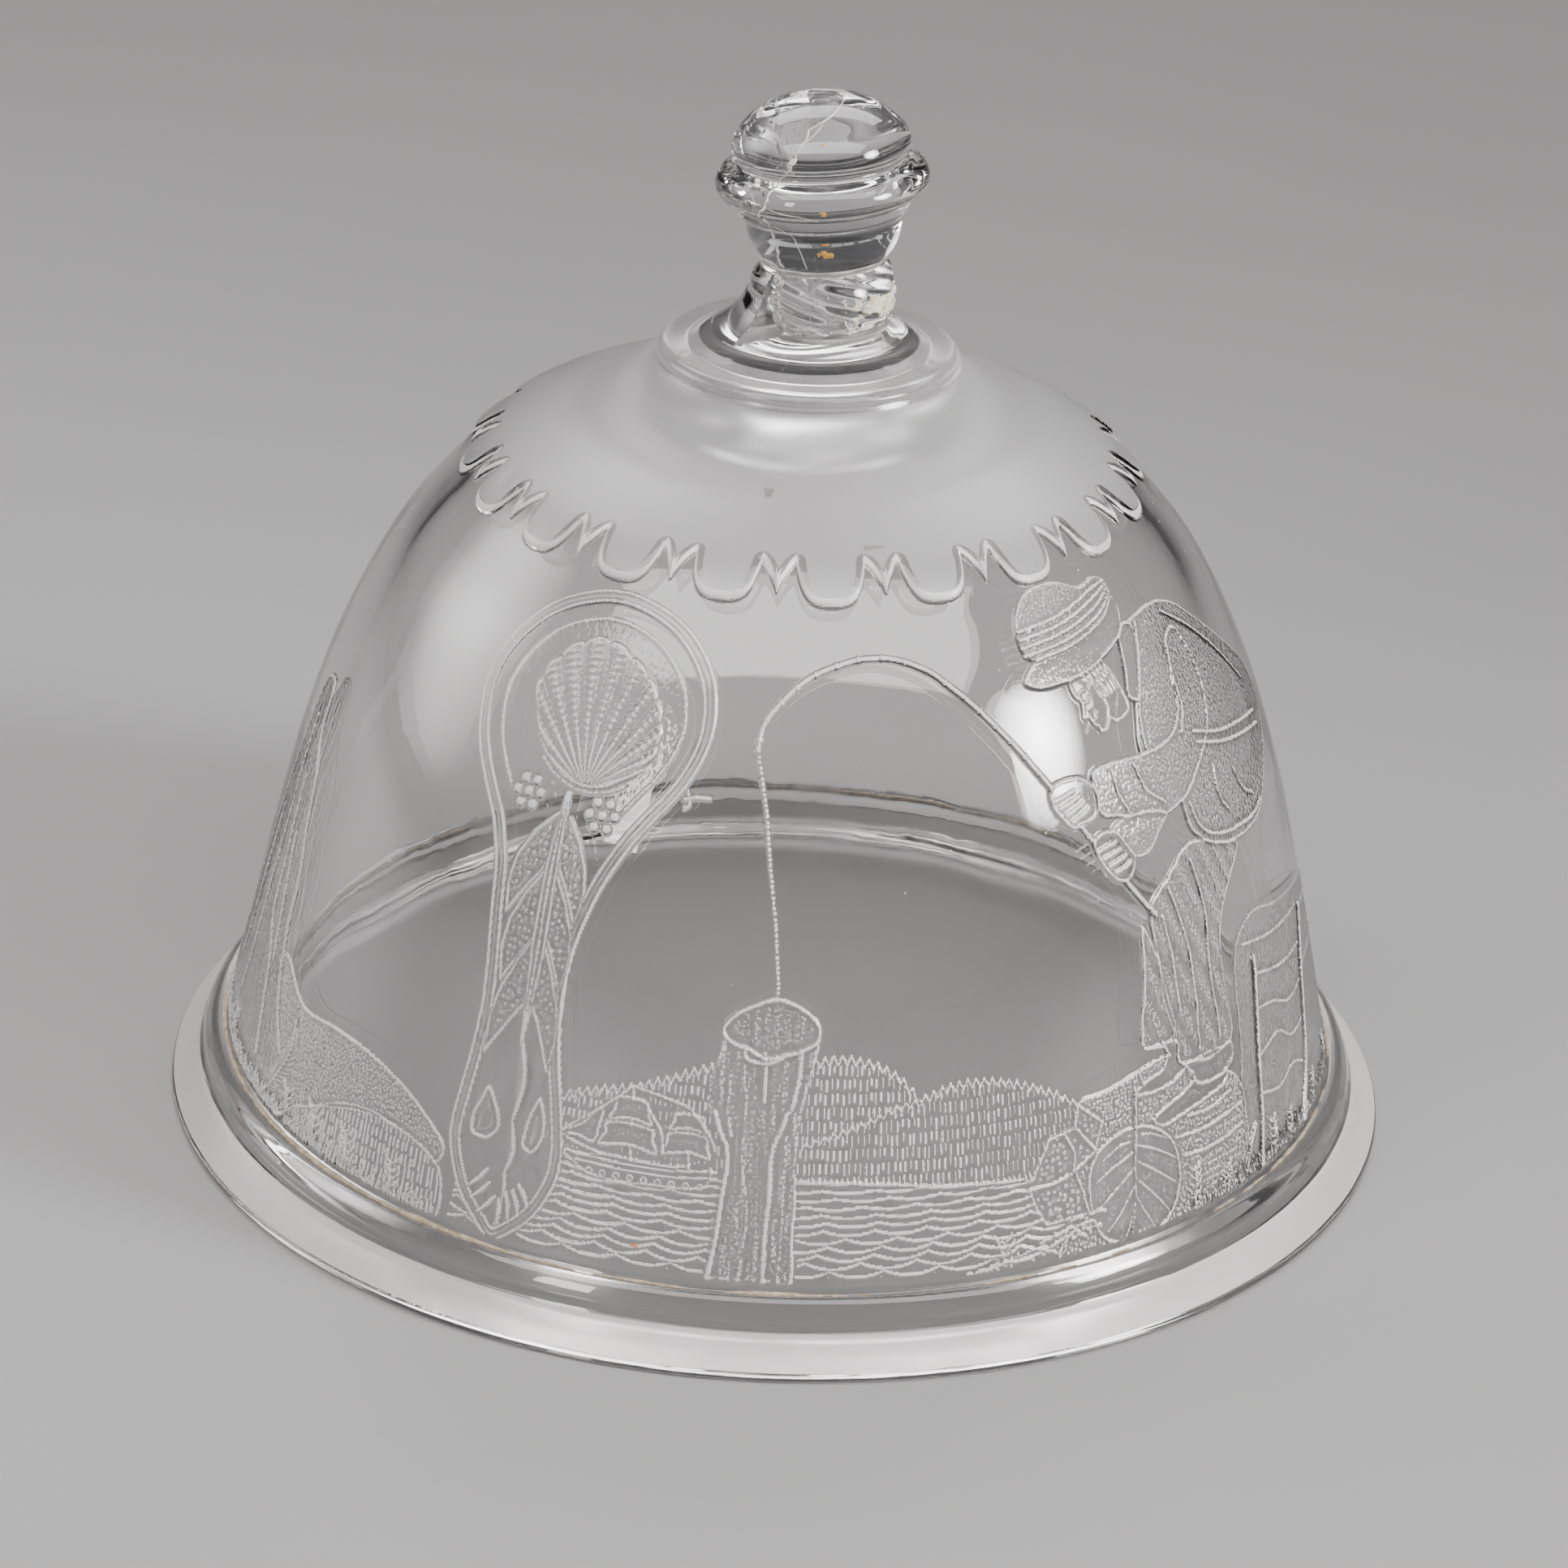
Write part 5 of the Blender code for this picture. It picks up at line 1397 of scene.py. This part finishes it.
def boolean(name, mesh, tools):
    ob = bpy.data.objects.new(name, mesh)
    bpy.context.scene.collection.objects.link(ob)
    for op, tool in tools:
        bpy.context.scene.collection.objects.link(tool)
        mod = ob.modifiers.new(op.lower(), "BOOLEAN")
        mod.operation = op
        mod.solver = "EXACT"
        mod.object = tool
    bpy.context.view_layer.update()
    done = bpy.data.meshes.new_from_object(ob.evaluated_get(bpy.context.evaluated_depsgraph_get()))
    for _, tool in tools:
        bpy.data.objects.remove(tool)
    bpy.data.objects.remove(ob)
    done.name = name
    return done


def open_break(mesh):
    """Takes away the faces inside the break, so light passes as in glued glass."""
    bm = bmesh.new()
    bm.from_mesh(mesh)
    gone = []
    for f in bm.faces:
        p = f.calc_center_median() / MM
        r = knob_radius(p.z)
        if (abs(p.x - crack_x(p.z, p.y)) < 0.03 and math.hypot(p.x, p.y) < r - 0.12
                and abs(f.normal.x) > 0.5):
            gone.append(f)
    bmesh.ops.delete(bm, geom=gone, context="FACES")
    bm.to_mesh(mesh)
    bm.free()
    return mesh


def finish_piece(name, mesh, frame_matrix, slot, nodes, *mats, crease=35.0):
    if frame_matrix is not None:
        m = frame_matrix.copy()
        m.translation = m.translation * MM
        mesh.transform(m)
    mesh.materials.clear()
    mesh.shade_smooth()
    if crease:
        mesh.set_sharp_from_angle(angle=math.radians(crease))
    ob = place_object(name, mesh, *mats)
    if nodes:
        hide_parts(*nodes)
    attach(ob, "root")
    return ob


def tube(points, radii, sides=8):
    """Closed, round-ended tube along points (mm)."""
    p = np.asarray(points, float)
    d = np.gradient(p, axis=0)
    d /= np.maximum(np.linalg.norm(d, axis=1), 1e-9)[:, None]
    ref = np.tile([0.0, 0.0, 1.0], (len(p), 1))
    ref[np.abs(d[:, 2]) > 0.9] = [1.0, 0.0, 0.0]
    a = np.cross(d, ref)
    a /= np.linalg.norm(a, axis=1)[:, None]
    for i in range(1, len(a)):
        if np.dot(a[i], a[i - 1]) < 0:
            a[i] = -a[i]
    b = np.cross(d, a)
    ang = 2 * math.pi * np.arange(sides) / sides
    co = (p[:, None] + (a[:, None] * np.cos(ang)[None, :, None] + b[:, None] * np.sin(ang)[None, :, None])
          * np.asarray(radii)[:, None, None])
    verts = co.reshape(-1, 3).tolist() + [p[0].tolist(), p[-1].tolist()]
    faces, n = [], len(p)
    for i in range(n - 1):
        for k in range(sides):
            k2 = (k + 1) % sides
            faces.append((i * sides + k, i * sides + k2, (i + 1) * sides + k2, (i + 1) * sides + k))
    for k in range(sides):
        k2 = (k + 1) % sides
        faces.append((n * sides, k2, k))
        faces.append((n * sides + 1, (n - 1) * sides + k, (n - 1) * sides + k2))
    return verts, faces


def merge(name, parts, frame_matrix=None):
    verts, faces = [], []
    for v, f in parts:
        o = len(verts)
        verts.extend(v)
        faces.extend([tuple(i + o for i in q) for q in f])
    mesh = bpy.data.meshes.new(name)
    mesh.from_pydata((np.array(verts) * MM).tolist(), [], faces)
    bm = bmesh.new()
    bm.from_mesh(mesh)
    bmesh.ops.recalc_face_normals(bm, faces=bm.faces)
    bm.to_mesh(mesh)
    bm.free()
    return mesh


def blob(centre, u, v, n, size, thick, seed, sides=18):
    """Flat irregular flake: centre, two directions in its plane and its normal."""
    rng = np.random.default_rng(seed)
    c, u, v, n = (np.asarray(q, float) for q in (centre, u, v, n))
    ang = 2 * math.pi * np.arange(sides) / sides
    rad = 1 + 0.28 * np.sin(2 * ang + rng.random() * 6) + 0.18 * np.sin(3 * ang + rng.random() * 6) \
        + 0.10 * np.sin(5 * ang + rng.random() * 6)
    verts, faces = [], []
    for f, lift in ((1.0, 0.0), (0.92, 0.6), (0.6, 0.95)):
        for a, r in zip(ang, rad):
            verts.append(c + (u * math.cos(a) * size[0] + v * math.sin(a) * size[1]) * r * f + n * thick * lift)
    verts.append(c + n * thick)
    verts.append(c - n * thick * 0.3)
    for k in range(sides):
        k2 = (k + 1) % sides
        faces.append((k, k2, sides + k2, sides + k))
        faces.append((sides + k, sides + k2, 2 * sides + k2, 2 * sides + k))
        faces.append((2 * sides + k, 2 * sides + k2, 3 * sides))
        faces.append((k2, k, 3 * sides + 1))
    return [q.tolist() for q in verts], faces


def on_knob(azimuth, z, lift=0.0):
    """Point and normal on the knob's skin, in the knob's frame."""
    r = knob_radius(z)
    slope = (knob_radius(z + 0.15) - knob_radius(z - 0.15)) / 0.3
    a = math.radians(azimuth)
    n = np.array([math.sin(a), -math.cos(a), -slope])
    n /= np.linalg.norm(n)
    p = np.array([r * math.sin(a), -r * math.cos(a), z]) + n * lift
    t = np.array([math.cos(a), math.sin(a), 0.0])
    return p, n, t, np.cross(n, t)


def knob():
    main = open_break(boolean("knob_main_glass", turned_knob("k1"), [("INTERSECT", crack_cutter("c1", 0.0, 1))]))
    side = open_break(boolean("knob_side_glass", turned_knob("k2"), [("INTERSECT", crack_cutter("c2", 0.0, -1))]))
    film = boolean("knob_crack_film", turned_knob("k3", grow=-0.05),
                   [("INTERSECT", crack_cutter("c3", -0.05, 1)), ("INTERSECT", crack_cutter("c4", 0.05, -1))])
    finish_piece("knob_main_glass", main, LEAN, "pressed_glass", ["knob_main"], KNOB_GLASS)
    finish_piece("knob_side_glass", side, LEAN, "pressed_glass", ["knob_side_fragment"], KNOB_GLASS)
    finish_piece("knob_crack_film", film, LEAN, "clear_glue", ["knob_crack_glue"], FILM)

    # whitish glue showing where the break meets the skin
    parts = []
    zs = np.linspace(139.0, 162.9, 260)
    for sign in (-1, 1):
        pts = []
        for z in zs:
            x, r = None, knob_radius(z)
            y = 0.0
            for _ in range(3):
                x = float(crack_x(z, y))
                y = sign * math.sqrt(max(r * r - x * x, 0.0))
            if r > abs(x) + 0.05:
                pts.append((x, y, z))
        pts = np.array(pts)
        rng = np.random.default_rng(60 + sign)
        n = noise(np.linspace(0, 46, len(pts)), np.zeros(len(pts)), 61 + sign)
        fine = noise(np.linspace(0, 130, len(pts)), np.zeros(len(pts)), 65 + sign)
        rad = (0.035 + (0.05 + 0.15 * smooth(153.5 - pts[:, 2], 0, 2.5)) * smooth(n, 0.25, 0.8) + 0.04 * fine)
        parts.append(tube(pts, rad * (1.0 if sign < 0 else 0.4)))
    # finer cracks running off it over the front
    for line in (((-30, 150.3), (-22, 149.6), (-12, 149.2), (-2, 148.3)),
                 ((-34, 146.6), (-24, 145.4), (-17, 142.0), (-15, 139.4)),
                 ((-18, 158.6), (-8, 159.6), (4, 161.2)),
                 ((-42, 152.0), (-38, 150.6), (-40, 149.0))):
        c = curve(line, 12)
        pts = np.array([on_knob(a, z)[0] for a, z in c])
        parts.append(tube(pts, 0.03 + 0.045 * noise(np.linspace(0, 20, len(pts)), np.zeros(len(pts)), 71), 6))
    mesh = merge("knob_crack_residue", parts)
    finish_piece("knob_crack_residue", mesh, LEAN, "clear_glue", [], WHITE_GLUE, crease=0)

    parts = []
    for k, (a, z, w, hgt) in enumerate(((-19, 155.4, 0.62, 0.6), (-20, 156.8, 0.5, 0.85), (-25, 155.3, 0.3, 0.45))):
        p, n, t, u = on_knob(a, z, -0.02)
        parts.append(blob(p, t, u, n, (w, hgt), 0.035, 180 + k, 24))
    finish_piece("knob_glue_smear", merge("knob_glue_smear", parts), LEAN, "clear_glue", [], SMEAR, crease=0)

    parts = []
    for k, (a, z, w, hgt) in enumerate(((1, 149.7, 0.62, 0.36), (2, 141.9, 0.85, 0.75), (3, 159.0, 0.42, 0.22),
                                        (1, 143.6, 0.55, 0.22), (-4, 142.0, 0.25, 0.3))):
        p, n, t, u = on_knob(a, z, -0.03)
        parts.append(blob(p, t, u, n, (w, hgt), 0.10, 80 + k))
    finish_piece("amber_glue_spots", merge("amber_glue_spots", parts), LEAN, "old_glue", [], AMBER, crease=0)


# ------------------------------------------------------------ the mended neck
BLOCK = curve([(8.6, 128.2), (9.75, 130.4), (10.2, 132.8), (10.0, 135.2), (9.35, 137.6)], 16)


def block_radius(z):
    return float(np.interp(z, BLOCK[:, 1], BLOCK[:, 0]))


def on_block(azimuth, z, lift=0.0):
    r = block_radius(z) + lift
    a = math.radians(azimuth)
    n = np.array([math.sin(a), -math.cos(a), 0.0])
    return np.array([r * n[0], r * n[1], z]), n, np.array([math.cos(a), math.sin(a), 0.0]), np.array([0, 0, 1.0])


def half_block(name, rows, gap, shut=True):
    """Body turned from rows, cut back to the broken face of the stem."""
    mesh, _ = ring_mesh(name, rows, uv=False, close=False)
    bm = bmesh.new()
    bm.from_mesh(mesh)
    m = LEAN.copy()
    m.translation = m.translation * MM
    bmesh.ops.transform(bm, matrix=m, verts=bm.verts)
    a = math.radians(BREAK_TURN)
    n = Vector((math.sin(a), -math.cos(a), 0.0))
    geom = bm.verts[:] + bm.edges[:] + bm.faces[:]
    cut = bmesh.ops.bisect_plane(bm, geom=geom, plane_co=n * (BREAK_OFFSET + gap) * MM, plane_no=-n,
                                 clear_outer=True, dist=1e-7)
    edges = [e for e in cut["geom_cut"] if isinstance(e, bmesh.types.BMEdge)]
    if shut:
        bmesh.ops.contextual_create(bm, geom=edges)
        bmesh.ops.recalc_face_normals(bm, faces=bm.faces)
    return bm, mesh


def neck():
    cols = 200
    a = 2 * math.pi * np.arange(cols) / cols
    rng = np.random.default_rng(5)

    def row(r, z, wob):
        rr = r + wob
        return np.stack([rr * np.sin(a), -rr * np.cos(a), np.full(cols, z)], 1)

    rows = [np.array([[0, 0, 128.2]])] + [row(8.6 * f, 128.2, 0) for f in (0.4, 0.8, 0.96)]
    for r, z in BLOCK:
        wob = 0.13 * np.sin(3.1 * a + z * 0.9) * np.sin(z * 0.8) + 0.08 * np.sin(7 * a + z * 2.0) - 0.10
        rows.append(row(r, z, wob))
    rows += [row(9.2 * f, 137.6, 0) for f in (0.95, 0.7, 0.4)] + [np.array([[0, 0, 137.6]])]
    bm, mesh = half_block("neck_resin_block", rows, 0.02, shut=False)
    # bubbles caught in the resin
    m = LEAN.copy()
    for az, z, depth, size in ((8, 131.2, 3.0, 0.30), (22, 135.6, 2.4, 0.32), (40, 133.0, 3.2, 0.25),
                               (-4, 136.2, 3.6, 0.22), (30, 130.4, 2.6, 0.25), (2, 134.4, 1.8, 0.16)):
        p = on_block(az, z, -depth)[0]
        centre = (m @ Vector(p)) * MM
        ball = bmesh.ops.create_icosphere(bm, subdivisions=3, radius=size * MM,
                                          matrix=Matrix.Translation(centre) @ Matrix.Diagonal((1, 0.8, 1.25, 1)))
        faces = {f for v in ball["verts"] for f in v.link_faces}
        bmesh.ops.reverse_faces(bm, faces=list(faces))
    bm.to_mesh(mesh)
    bm.free()
    finish_piece("neck_resin_block", mesh, None, "casting_resin", ["neck_repair_block"], RESIN)

    # whitish loops and flakes in the face of the block
    parts = []
    for loop in (((-45, 134.2), (-34, 134.0), (-22, 133.2), (-31, 132.2), (-41, 131.2), (-39.5, 132.6)),
                 ((1, 130.9), (7, 131.35), (13, 131.0), (7, 130.55))):
        c = closed_curve(loop, 10)
        c = np.vstack([c, c[:3]])
        pts = np.array([on_block(az, z, 0.02)[0] for az, z in c])
        pts[-3:] = pts[:3]
        parts.append(tube(pts, 0.06 + 0.05 * noise(np.linspace(0, 9, len(pts)), np.zeros(len(pts)), 90), 8))
    finish_piece("resin_bubble_rims", merge("resin_bubble_rims", parts), LEAN, "casting_resin", [], GLUE, crease=0)
    parts = []
    rng = np.random.default_rng(91)
    for k in range(13):
        az, z = -47 + 5 * rng.random(), 129.2 + 7.4 * rng.random()
        p, n, t, u = on_block(az, z, -0.08)
        parts.append(blob(p, t, u, n, (0.12 + 0.34 * rng.random(), 0.2 + 0.5 * rng.random()), 0.10, 100 + k, 14))
    for k in range(18):
        az, z = -34 + 95 * rng.random(), 128.6 + 0.8 * rng.random()
        p, n, t, u = on_block(az, z, -0.06)
        parts.append(blob(p, t, u, n, (0.2 + 0.6 * rng.random(), 0.12 + 0.2 * rng.random()), 0.08, 130 + k, 14))
    finish_piece("resin_white_flakes", merge("resin_white_flakes", parts), LEAN, "clear_glue", [], WHITE_GLUE, crease=0)

    parts = []
    for k, (az, z, wide, tall) in enumerate(((-24, 130.2, 1.5, 0.75), (-12, 130.0, 1.3, 0.6), (10, 129.3, 1.3, 0.5))):
        p, n, t, u = on_block(az, z, -0.05)
        parts.append(blob(p, t, u, n, (wide, tall), 0.03, 190 + k, 24))
    finish_piece("resin_cloudy_patch", merge("resin_cloudy_patch", parts), LEAN, "clear_glue", [], SMEAR, crease=0)

    # clear lip squeezed out below, and the thin joint above
    level = []
    for r, z in ((0.0, 126.85), (5.0, 126.85), (8.3, 126.85), (8.72, 126.98), (8.95, 127.25), (8.98, 127.55),
                 (8.7, 127.85), (6.0, 127.9), (0.0, 127.9)):
        if r == 0.0:
            level.append(np.array([[0, 0, z]]))
        else:
            level.append(row(r, z, 0.10 * np.sin(5 * a + 1) + 0.07 * np.sin(11 * a) if r > 8 else 0.0))
    bm, mesh = half_block("glue_lip", level, 0.34)
    floor = (BREAK_FLOOR + 0.06) * MM
    for v in bm.verts:
        v.co.z = max(v.co.z, floor)
    bm.to_mesh(mesh)
    bm.free()
    finish_piece("glue_lip", mesh, None, "clear_glue", ["glue_bead_lower"], GLUE)
    rows = []
    for r, z in ((0.0, 137.75), (7.0, 137.75), (9.2, 137.78), (9.42, 137.95), (9.45, 138.15), (9.3, 138.38),
                 (7.0, 138.42), (0.0, 138.42)):
        rows.append(np.array([[0, 0, z]]) if r == 0.0 else row(r, z, 0.06 * np.sin(9 * a) + 0.04 * np.sin(17 * a)))
    mesh, _ = ring_mesh("glue_joint", rows, uv=False, close=False)
    finish_piece("glue_joint", mesh, LEAN, "clear_glue", ["glue_joint_upper"], GLUE)

    # yellowed flake on the right of the block: a lumpy, ragged crust
    parts, rng = [], np.random.default_rng(92)
    nz, na = 56, 110
    zs, az = np.linspace(129.5, 134.9, nz), np.linspace(16.0, 86.0, na)
    zz, aa = np.meshgrid(zs, az, indexing="ij")
    n1 = noise((aa - 16) / 10.0, (zz - 129) / 1.0, 93)
    n2 = noise((aa - 16) / 3.2, (zz - 129) / 0.42, 94)
    slant = 134.9 - 1.5 * smooth(86 - aa, 20.0, 70.0)
    edge = np.minimum.reduce([(zz - 129.5 - 0.02 * (86 - aa)) / 1.1, (slant - zz) / 0.9, (aa - 16) / 22.0,
                              (86 - aa) / 8.0])
    body = np.clip(edge + 2.3 * (n1 - 0.56) + 1.5 * (n2 - 0.52), 0, 1)
    keep = body > 0.26
    outer, inner = [], []
    for i in range(nz):
        for j in range(na):
            lift = 0.04 + 0.32 * smooth(body[i, j], 0.1, 0.9) * (0.4 + 0.9 * n2[i, j])
            outer.append(on_block(az[j], zs[i], lift)[0])
            inner.append(on_block(az[j], zs[i], 0.02)[0])
    verts = [p.tolist() for p in outer + inner]
    m = nz * na
    faces, border = [], {}
    for i in range(nz - 1):
        for j in range(na - 1):
            if keep[i:i + 2, j:j + 2].all():
                q = (i * na + j, i * na + j + 1, (i + 1) * na + j + 1, (i + 1) * na + j)
                faces.append(q)
                faces.append(tuple(k + m for k in q[::-1]))
                for e in zip(q, q[1:] + q[:1]):
                    if (e[1], e[0]) in border:
                        del border[e[1], e[0]]
                    else:
                        border[e] = True
    for b0, b1 in border:
        faces.append((b1, b0, b0 + m, b1 + m))
    finish_piece("old_glue_flake", merge("old_glue_flake", [(verts, faces)]), LEAN, "old_glue", ["glue_flake"],
                 RESIDUE, crease=0)


# ------------------------------------------------------------ dirt and dust
def groove_dirt():
    """Tan crust lying in the groove at the foot of the wall, thickest at left."""
    n = 1500
    ang = np.radians(-180.0 + 360.0 * np.arange(n) / n)
    deg = np.degrees(ang)
    u = (deg + 180.0) / 360.0
    amount = (0.70 * noise(u * 60, np.zeros(n), 50, 60) + 0.35 * noise(u * 300, np.zeros(n), 51, 300)
              + 0.50 * np.exp(-((deg + 52) / 34.0) ** 2) - 0.34)
    amount += 0.6 * np.exp(-((deg + 36) / 2.2) ** 2)
    size = np.clip(amount, 0, 1.1)
    wob = noise(u * 700, np.zeros(n), 52, 700)
    parts, i = [], 0
    on = size > 0.10
    while i < n:
        if not on[i]:
            i += 1
            continue
        j = i
        while j + 1 < n and on[j + 1]:
            j += 1
        if j - i > 4:
            k = np.arange(i, j + 1)
            fade = np.minimum(1, np.minimum(k - i + 1, j - k + 1) / 4.0)
            rad = (0.12 + 0.42 * size[k] + 0.16 * (wob[k] - 0.5)) * fade
            r = 87.55 + 0.15 * (wob[k] - 0.5)
            z = 9.78 + 0.20 * size[k] * fade
            pts = np.stack([r * np.sin(ang[k]), -r * np.cos(ang[k]), z], 1)
            parts.append(tube(pts, np.maximum(rad, 0.05), 7))
        i = j + 1
    finish_piece("groove_dirt_crust", merge("groove_dirt_crust", parts), None, "old_glue", [], DIRT, crease=0)


def on_wall(azimuth, z, lift=0.0):
    s = float(C.arc(z))
    r = float(np.interp(s, C.s, C.r))
    i = int(round(s / (C.s[1] - C.s[0])))
    nr, nz = C.nr[i], C.nz[i]
    j = int(np.searchsorted(C.th, azimuth)) % COLS
    h = C.h[i, j] + lift
    a = math.radians(azimuth)
    n = np.array([nr * math.sin(a), -nr * math.cos(a), nz])
    return (np.array([r * math.sin(a), -r * math.cos(a), z]) + n * h, n,
            np.array([math.cos(a), math.sin(a), 0.0]), np.cross(n, np.array([math.cos(a), math.sin(a), 0.0])))


def dust():
    parts, rng = [], np.random.default_rng(55)
    for k in range(230):
        a = -180 + 360 * rng.random()
        z = 12 + 98 * rng.random() ** 0.7
        p, n, t, u = on_wall(a, z, -0.02)
        s = 0.05 + 0.10 * rng.random() ** 2
        parts.append(blob(p, t, u, n, (s, s * (0.7 + 0.9 * rng.random())), 0.04, 300 + k, 8))
    finish_piece("dust_specks", merge("dust_specks", parts), None, "old_glue", [], SPECK, crease=0)
    parts = []
    for k, (az, z, wide, tall) in enumerate(((-7.9, 112.9, 0.8, 1.7), (13.5, 108.9, 1.2, 0.5))):
        p, n, t, u = on_wall(az, z, 0.01)
        parts.append(blob(p, t, u, n, (wide, tall), 0.015, 420 + k, 24))
    finish_piece("cap_smudge", merge("cap_smudge", parts), None, "old_glue", [], SMUDGE, crease=0)
    p, n, t, u = on_wall(-12.9, 14.9, -0.03)
    finish_piece("orange_speck", merge("orange_speck", [blob(p, t, u, n, (0.62, 0.42), 0.12, 400, 16)]), None,
                 "old_glue", [], RUST, crease=0)


bell()
knob()
neck()
groove_dirt()
dust()


# ------------------------------------------------------------ floor, light, camera
def studio():
    mat, tree, bsdf = new_material("pale_floor")
    tree.links.new(ramp(tree, noise_node(tree, 3.0, 3.0), [(0.3, (0.255, 0.251, 0.250)), (0.7, (0.270, 0.266, 0.265))]),
                   bsdf.inputs["Base Color"])
    bsdf.inputs["Roughness"].default_value = 0.42
    mesh = bpy.data.meshes.new("floor")
    mesh.from_pydata([(-24, -24, 0), (24, -24, 0), (24, 24, 0), (-24, 24, 0)], [], [(0, 1, 2, 3)])
    floor = place_object("floor", mesh, mat)
    floor.location.z = -0.0002

    world = bpy.data.worlds.new("studio")
    world.use_nodes = True
    world.node_tree.nodes["Background"].inputs["Color"].default_value = (0.60, 0.60, 0.62, 1)
    world.node_tree.nodes["Background"].inputs["Strength"].default_value = 0.12
    bpy.context.scene.world = world

    def area(name, place, aim, size, power, colour=(1, 1, 1), fade=None):
        light = bpy.data.lights.new(name, "AREA")
        if fade:
            light.spread = math.radians(fade)
        light.shape = "RECTANGLE"
        light.size, light.size_y = size
        light.energy = power
        light.color = colour
        ob = bpy.data.objects.new(name, light)
        bpy.context.scene.collection.objects.link(ob)
        ob.location = place
        ob.rotation_euler = (Vector(aim) - Vector(place)).to_track_quat("-Z", "Y").to_euler()
        return ob

    area("softbox_left", (-0.82, -1.05, 0.595), (0, 0, 0.07), (0.22, 0.45), 6.1, (1.0, 0.975, 0.97))
    area("softbox_right", (1.095, -0.41, 0.56), (0, 0, 0.07), (0.46, 0.52), 1.55, (1.0, 0.98, 0.975), fade=25.0)
    area("softbox_side", (-1.32, 0.36, 0.62), (0, 0, 0.08), (1.1, 1.0), 1.5, (1.0, 0.985, 0.98), fade=46.0)
    area("softbox_top", (0.0, -0.55, 1.25), (0, 0, 0.05), (2.2, 0.6), 28, (1.0, 0.985, 0.98))
    area("softbox_back", (0.0, 1.0, 1.25), (0, 0, 0.08), (1.6, 0.5), 16, (1.0, 0.98, 0.98))


def camera():
    data = bpy.data.cameras.new("camera")
    data.lens, data.sensor_width = 127.43, 36.0
    data.clip_start, data.clip_end = 0.05, 30.0
    ob = bpy.data.objects.new("camera", data)
    bpy.context.scene.collection.objects.link(ob)
    p, y, r = math.radians(25.178), math.radians(-0.05), math.radians(2.630)
    fwd = Vector((math.sin(y) * math.cos(p), math.cos(y) * math.cos(p), -math.sin(p)))
    right = Vector((math.cos(y), -math.sin(y), 0.0))
    up = right.cross(fwd)
    cx = right * math.cos(r) + up * math.sin(r)
    cy = -right * math.sin(r) + up * math.cos(r)
    m = Matrix((cx, cy, -fwd)).transposed().to_4x4()
    m.translation = (0.0, -0.7849, 0.41957)
    ob.matrix_world = m
    bpy.context.scene.camera = ob


studio()
camera()
